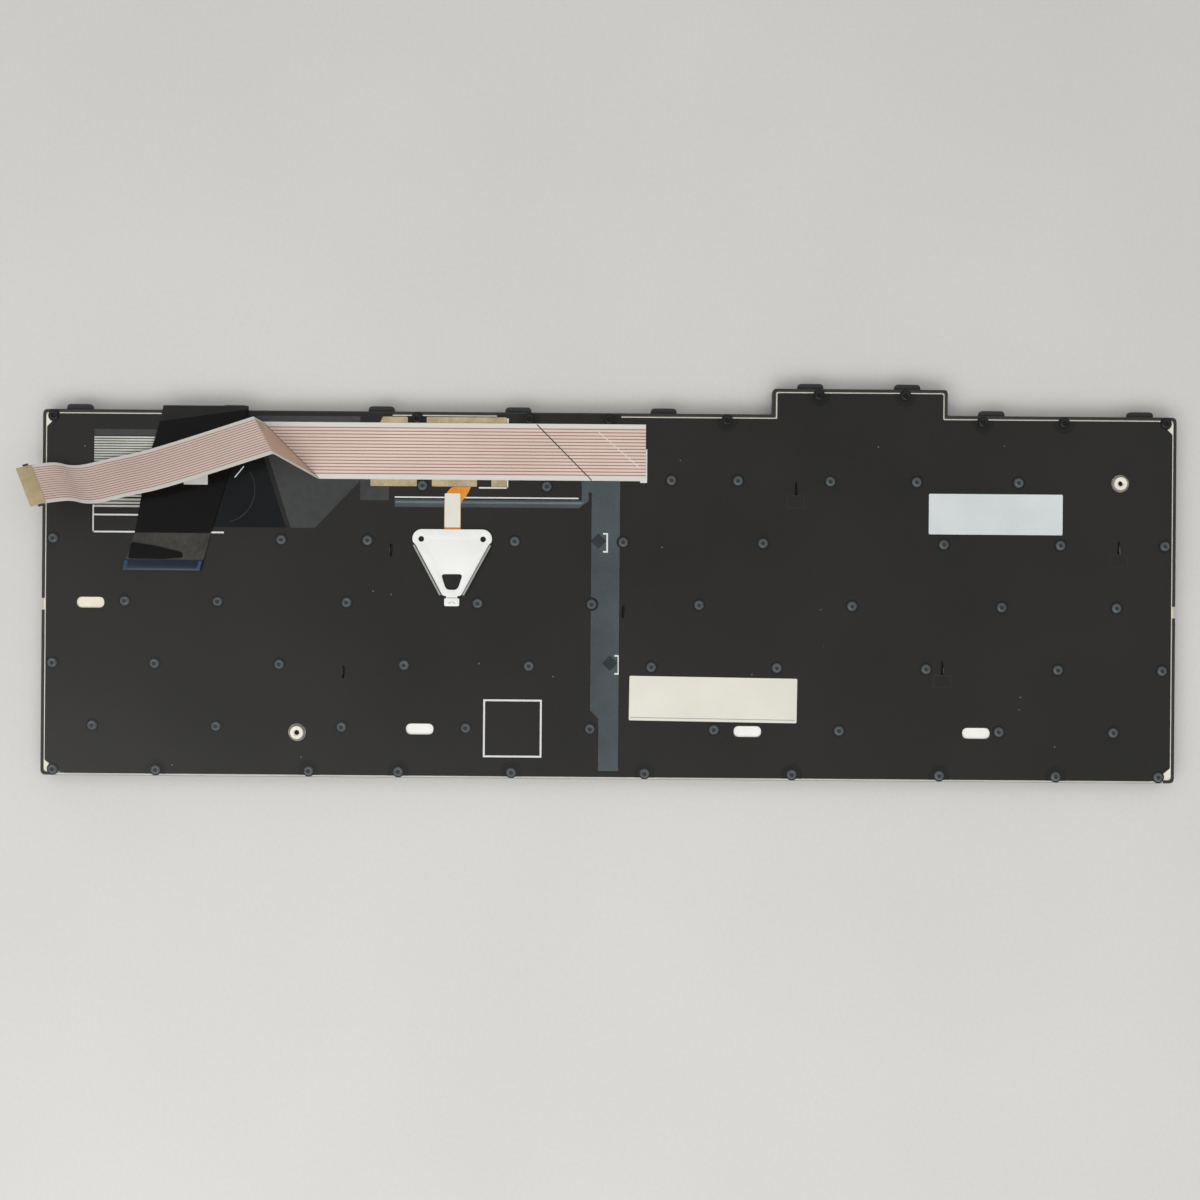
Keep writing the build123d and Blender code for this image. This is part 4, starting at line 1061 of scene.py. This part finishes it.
def cap_block(name, node):
    bm = bmesh.new()
    for low, high in solids(node):
        keycap(bm, cap_outline(low, high))
        middle = (low + high) / 2
        block(bm, middle.x - 1.6, middle.y - 1.6, 0.9, middle.x + 1.6, middle.y + 1.6, 4.2)
    return piece(bm, name, "keyboard", [key_black], "key_black", node)


cap_block("letter_caps", "letter_keys")
cap_block("function_caps", "function_keys")

# %% Keys that travel
travel_keys = [name for name in frame["bodies"] if name != "keyboard"]
enter_shoulder, enter_step = -8.8, 4.76
for name in travel_keys:
    low, high = node_box(name)
    bm = bmesh.new()
    if name == "enter_key":
        shoulder, step_x = enter_shoulder, low.x + enter_step
        loop = [(low.x, low.y), (high.x, low.y), (high.x, high.y), (step_x, high.y), (step_x, shoulder),
                (low.x, shoulder)]
        keycap(bm, rounded(loop, [1.1, 1.1, 2.3, 2.3, 0.4, 1.6], 3))
    else:
        keycap(bm, cap_outline(low, high))
    piece(bm, name + "_cap", name, [key_black], "key_black", name)

# %% [markdown]
# Under each key that travels stand a rubber dome, which springs it back, and two scissor links, which keep
# it level. All fold down as the key is pressed; here they are one piece for each key, which stays with the keyboard.
# A link is a flat frame, open at one end and tilted; the dome is turned.

# %% Domes and links
dome_spots = [(low + high) / 2 for low, high in solids("rubber_domes")]
dome = [(0.0, 0.9), (0.75, 0.9), (0.88, 1.05), (0.95, 1.9), (1.4, 2.9), (1.58, 3.4), (1.58, 4.2), (0.0, 4.2)]
link_end, link_bar, link_tilt = 5.0, 0.8, radians(13.5)
link_half, link_middle_z = 0.3, 2.5
for name in travel_keys:
    low, high = node_box(name)
    spot = next(s for s in dome_spots if low.x < s.x < high.x and low.y < s.y < high.y)
    bm = bmesh.new()
    turned(bm, dome, 12, spot.x, spot.y)
    for face in bm.faces:
        face.material_index = 1
    for side, half in ((1, 3.5), (-1, 2.5)):
        before = set(bm.verts)
        gap = half - link_bar
        plate(bm, [[(-link_end, -half), (link_end, -half), (link_end, -gap), (link_bar - link_end, -gap),
                    (link_bar - link_end, gap), (link_end, gap), (link_end, half), (-link_end, half)]],
              -link_half, link_half)
        link = [vert for vert in bm.verts if vert not in before]
        bmesh.ops.rotate(bm, cent=(0, 0, 0), matrix=Matrix.Rotation(side * link_tilt, 3, "Y"), verts=link)
        bmesh.ops.translate(bm, vec=(spot.x, spot.y, link_middle_z), verts=link)
    links = piece(bm, name + "_dome_links", "keyboard", [link_white, dome_rubber], "link_white",
                  "scissor_links", "rubber_domes")
    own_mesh(links)

# %% [markdown]
# ## The bezel
# The black frame round the keys is one moulding: a grid of ribs, a low wall that holds the sheets, and
# small tabs along the front that hook into the laptop. The grid is one outline with a rounded hole for
# every key; the wall and the tabs are added on it.

# %% Bezel grid
outer = [(-173.44, -60.78), (173.44, -60.78), (173.44, 51.18), (103.34, 51.18), (103.34, 59.08), (49.82, 59.08),
         (49.82, 51.18), (-173.44, 51.18)]
outer_radii = [1.6, 1.6, 1.6, 0.4, 1.2, 1.2, 0.4, 1.6]
cells = [(low, high) for node in ("letter_keys", "function_keys") for low, high in solids(node)]
cells += [node_box(name) for name in travel_keys if name != "enter_key"]
room = 0.5
loops = [rounded(outer, outer_radii)]
for low, high in cells:
    loops.append(rounded(box_corners(low.x - room, low.y - room, high.x + room, high.y + room), 0.8, 2))
low, high = node_box("enter_key")
loops.append(rounded([(low.x - room, low.y - room), (high.x + room, low.y - room), (high.x + room, high.y + room),
                      (low.x + enter_step - room, high.y + room),
                      (low.x + enter_step - room, enter_shoulder + room), (low.x - room, enter_shoulder + room)],
                     0.6, 2))
print("openings", len(loops) - 1)

# %% [markdown]
# Three ribs meet where the pointing stick stands, and its collar leaves a round hole there. Each side wall
# also has a short gap. The ribs, the wall and its lip are closed solids, so a boolean cuts these from one
# after the other, with a rod and two blocks as the tool.

# %% Bezel ribs, wall and lip
tool = bmesh.new()
bmesh.ops.create_cone(tool, cap_ends=True, segments=24, radius1=3.6, radius2=3.6, depth=12,
                      matrix=Matrix.Translation((stick_x, stick_y, 3)))
for side in (-1, 1):
    block(tool, side * 173.05 - 0.55, -10.3, -1, side * 173.05 + 0.55, -6.7, 8)


def link_mesh(name, shape):
    mesh = bpy.data.meshes.new(name)
    shape.to_mesh(mesh)
    shape.free()
    obj = bpy.data.objects.new(name, mesh)
    scene.collection.objects.link(obj)
    return obj


tool = link_mesh("tool", tool)
bm = bmesh.new()


def add_cut(loops, z0, z1, soft):
    shell = bmesh.new()
    plate(shell, loops, z0, z1, soft)
    bmesh.ops.recalc_face_normals(shell, faces=shell.faces)
    obj = link_mesh("shell", shell)
    cut = obj.modifiers.new("cut", "BOOLEAN")
    cut.operation = "DIFFERENCE"
    cut.object = tool
    bpy.context.view_layer.update()
    mesh = bpy.data.meshes.new_from_object(obj.evaluated_get(bpy.context.evaluated_depsgraph_get()))
    bm.from_mesh(mesh)
    bpy.data.objects.remove(obj)
    bpy.data.meshes.remove(mesh)


add_cut(loops, 1.6, 4.2, 0.18)
inner = [(-172.95, -60.28), (172.95, -60.28), (172.95, 50.68), (102.84, 50.68), (102.84, 58.58), (50.32, 58.58),
         (50.32, 50.68), (-172.95, 50.68)]
wall_radii = [1.1, 1.1, 1.1, 0.4, 0.8, 0.8, 0.4, 1.1]
add_cut([rounded(outer, outer_radii), rounded(inner, wall_radii)], 4.2, 4.95, 0.1)
lip = [(-172.53, -59.86), (172.53, -59.86), (172.53, 50.26), (102.42, 50.26), (102.42, 58.16), (50.74, 58.16),
       (50.74, 50.26), (-172.53, 50.26)]
add_cut([rounded(outer, outer_radii), rounded(lip, wall_radii)], 4.955, 5.14, 0.05)
bpy.data.objects.remove(tool)
print("bezel after the cuts", len(bm.faces), "faces")

# %% Tabs and stick collar
tab_columns = [(0.505, 51.18), (3.0, 51.18), (5.36, 51.18), (7.56, 51.18), (9.9, 51.18), (15.18, 51.18),
               (17.57, 51.18),
               (12.26, 59.08), (13.82, 59.08)]
for units, edge in tab_columns:
    x = -172.117 + 19.05 * units
    tab = [(x - 4, edge - 0.3), (x + 4, edge - 0.3), (x + 4, edge + 1.7), (x - 4, edge + 1.7)]
    plate(bm, [rounded(tab, [0.1, 0.1, 1.3, 1.3])], 3.0, 4.2, 0.15)
turned(bm, [(3.1, 1.62), (3.3, 1.6), (3.8, 1.6), (4.0, 1.75), (4.0, 4.2), (3.1, 4.2),
            (3.1, 1.62)], 24, stick_x, stick_y)
piece(bm, "moulded_bezel", "keyboard", [frame_black], "frame_black", "bezel_frame")

# %% [markdown]
# ## Pieces that stay as they are
# The steel plate, the light guide, the membrane and the sensor already have their shapes. They only need
# their finishes.

# %% Finishes for the carried pieces
for node, paint in (("base_plate", plate_steel), ("light_guide", guide_white), ("switch_membrane", clear_film),
                    ("stick_sensor", sensor_grey)):
    obj = frame["nodes"][node]
    obj.data.materials.clear()
    obj.data.materials.append(paint)
print("carried pieces finished")
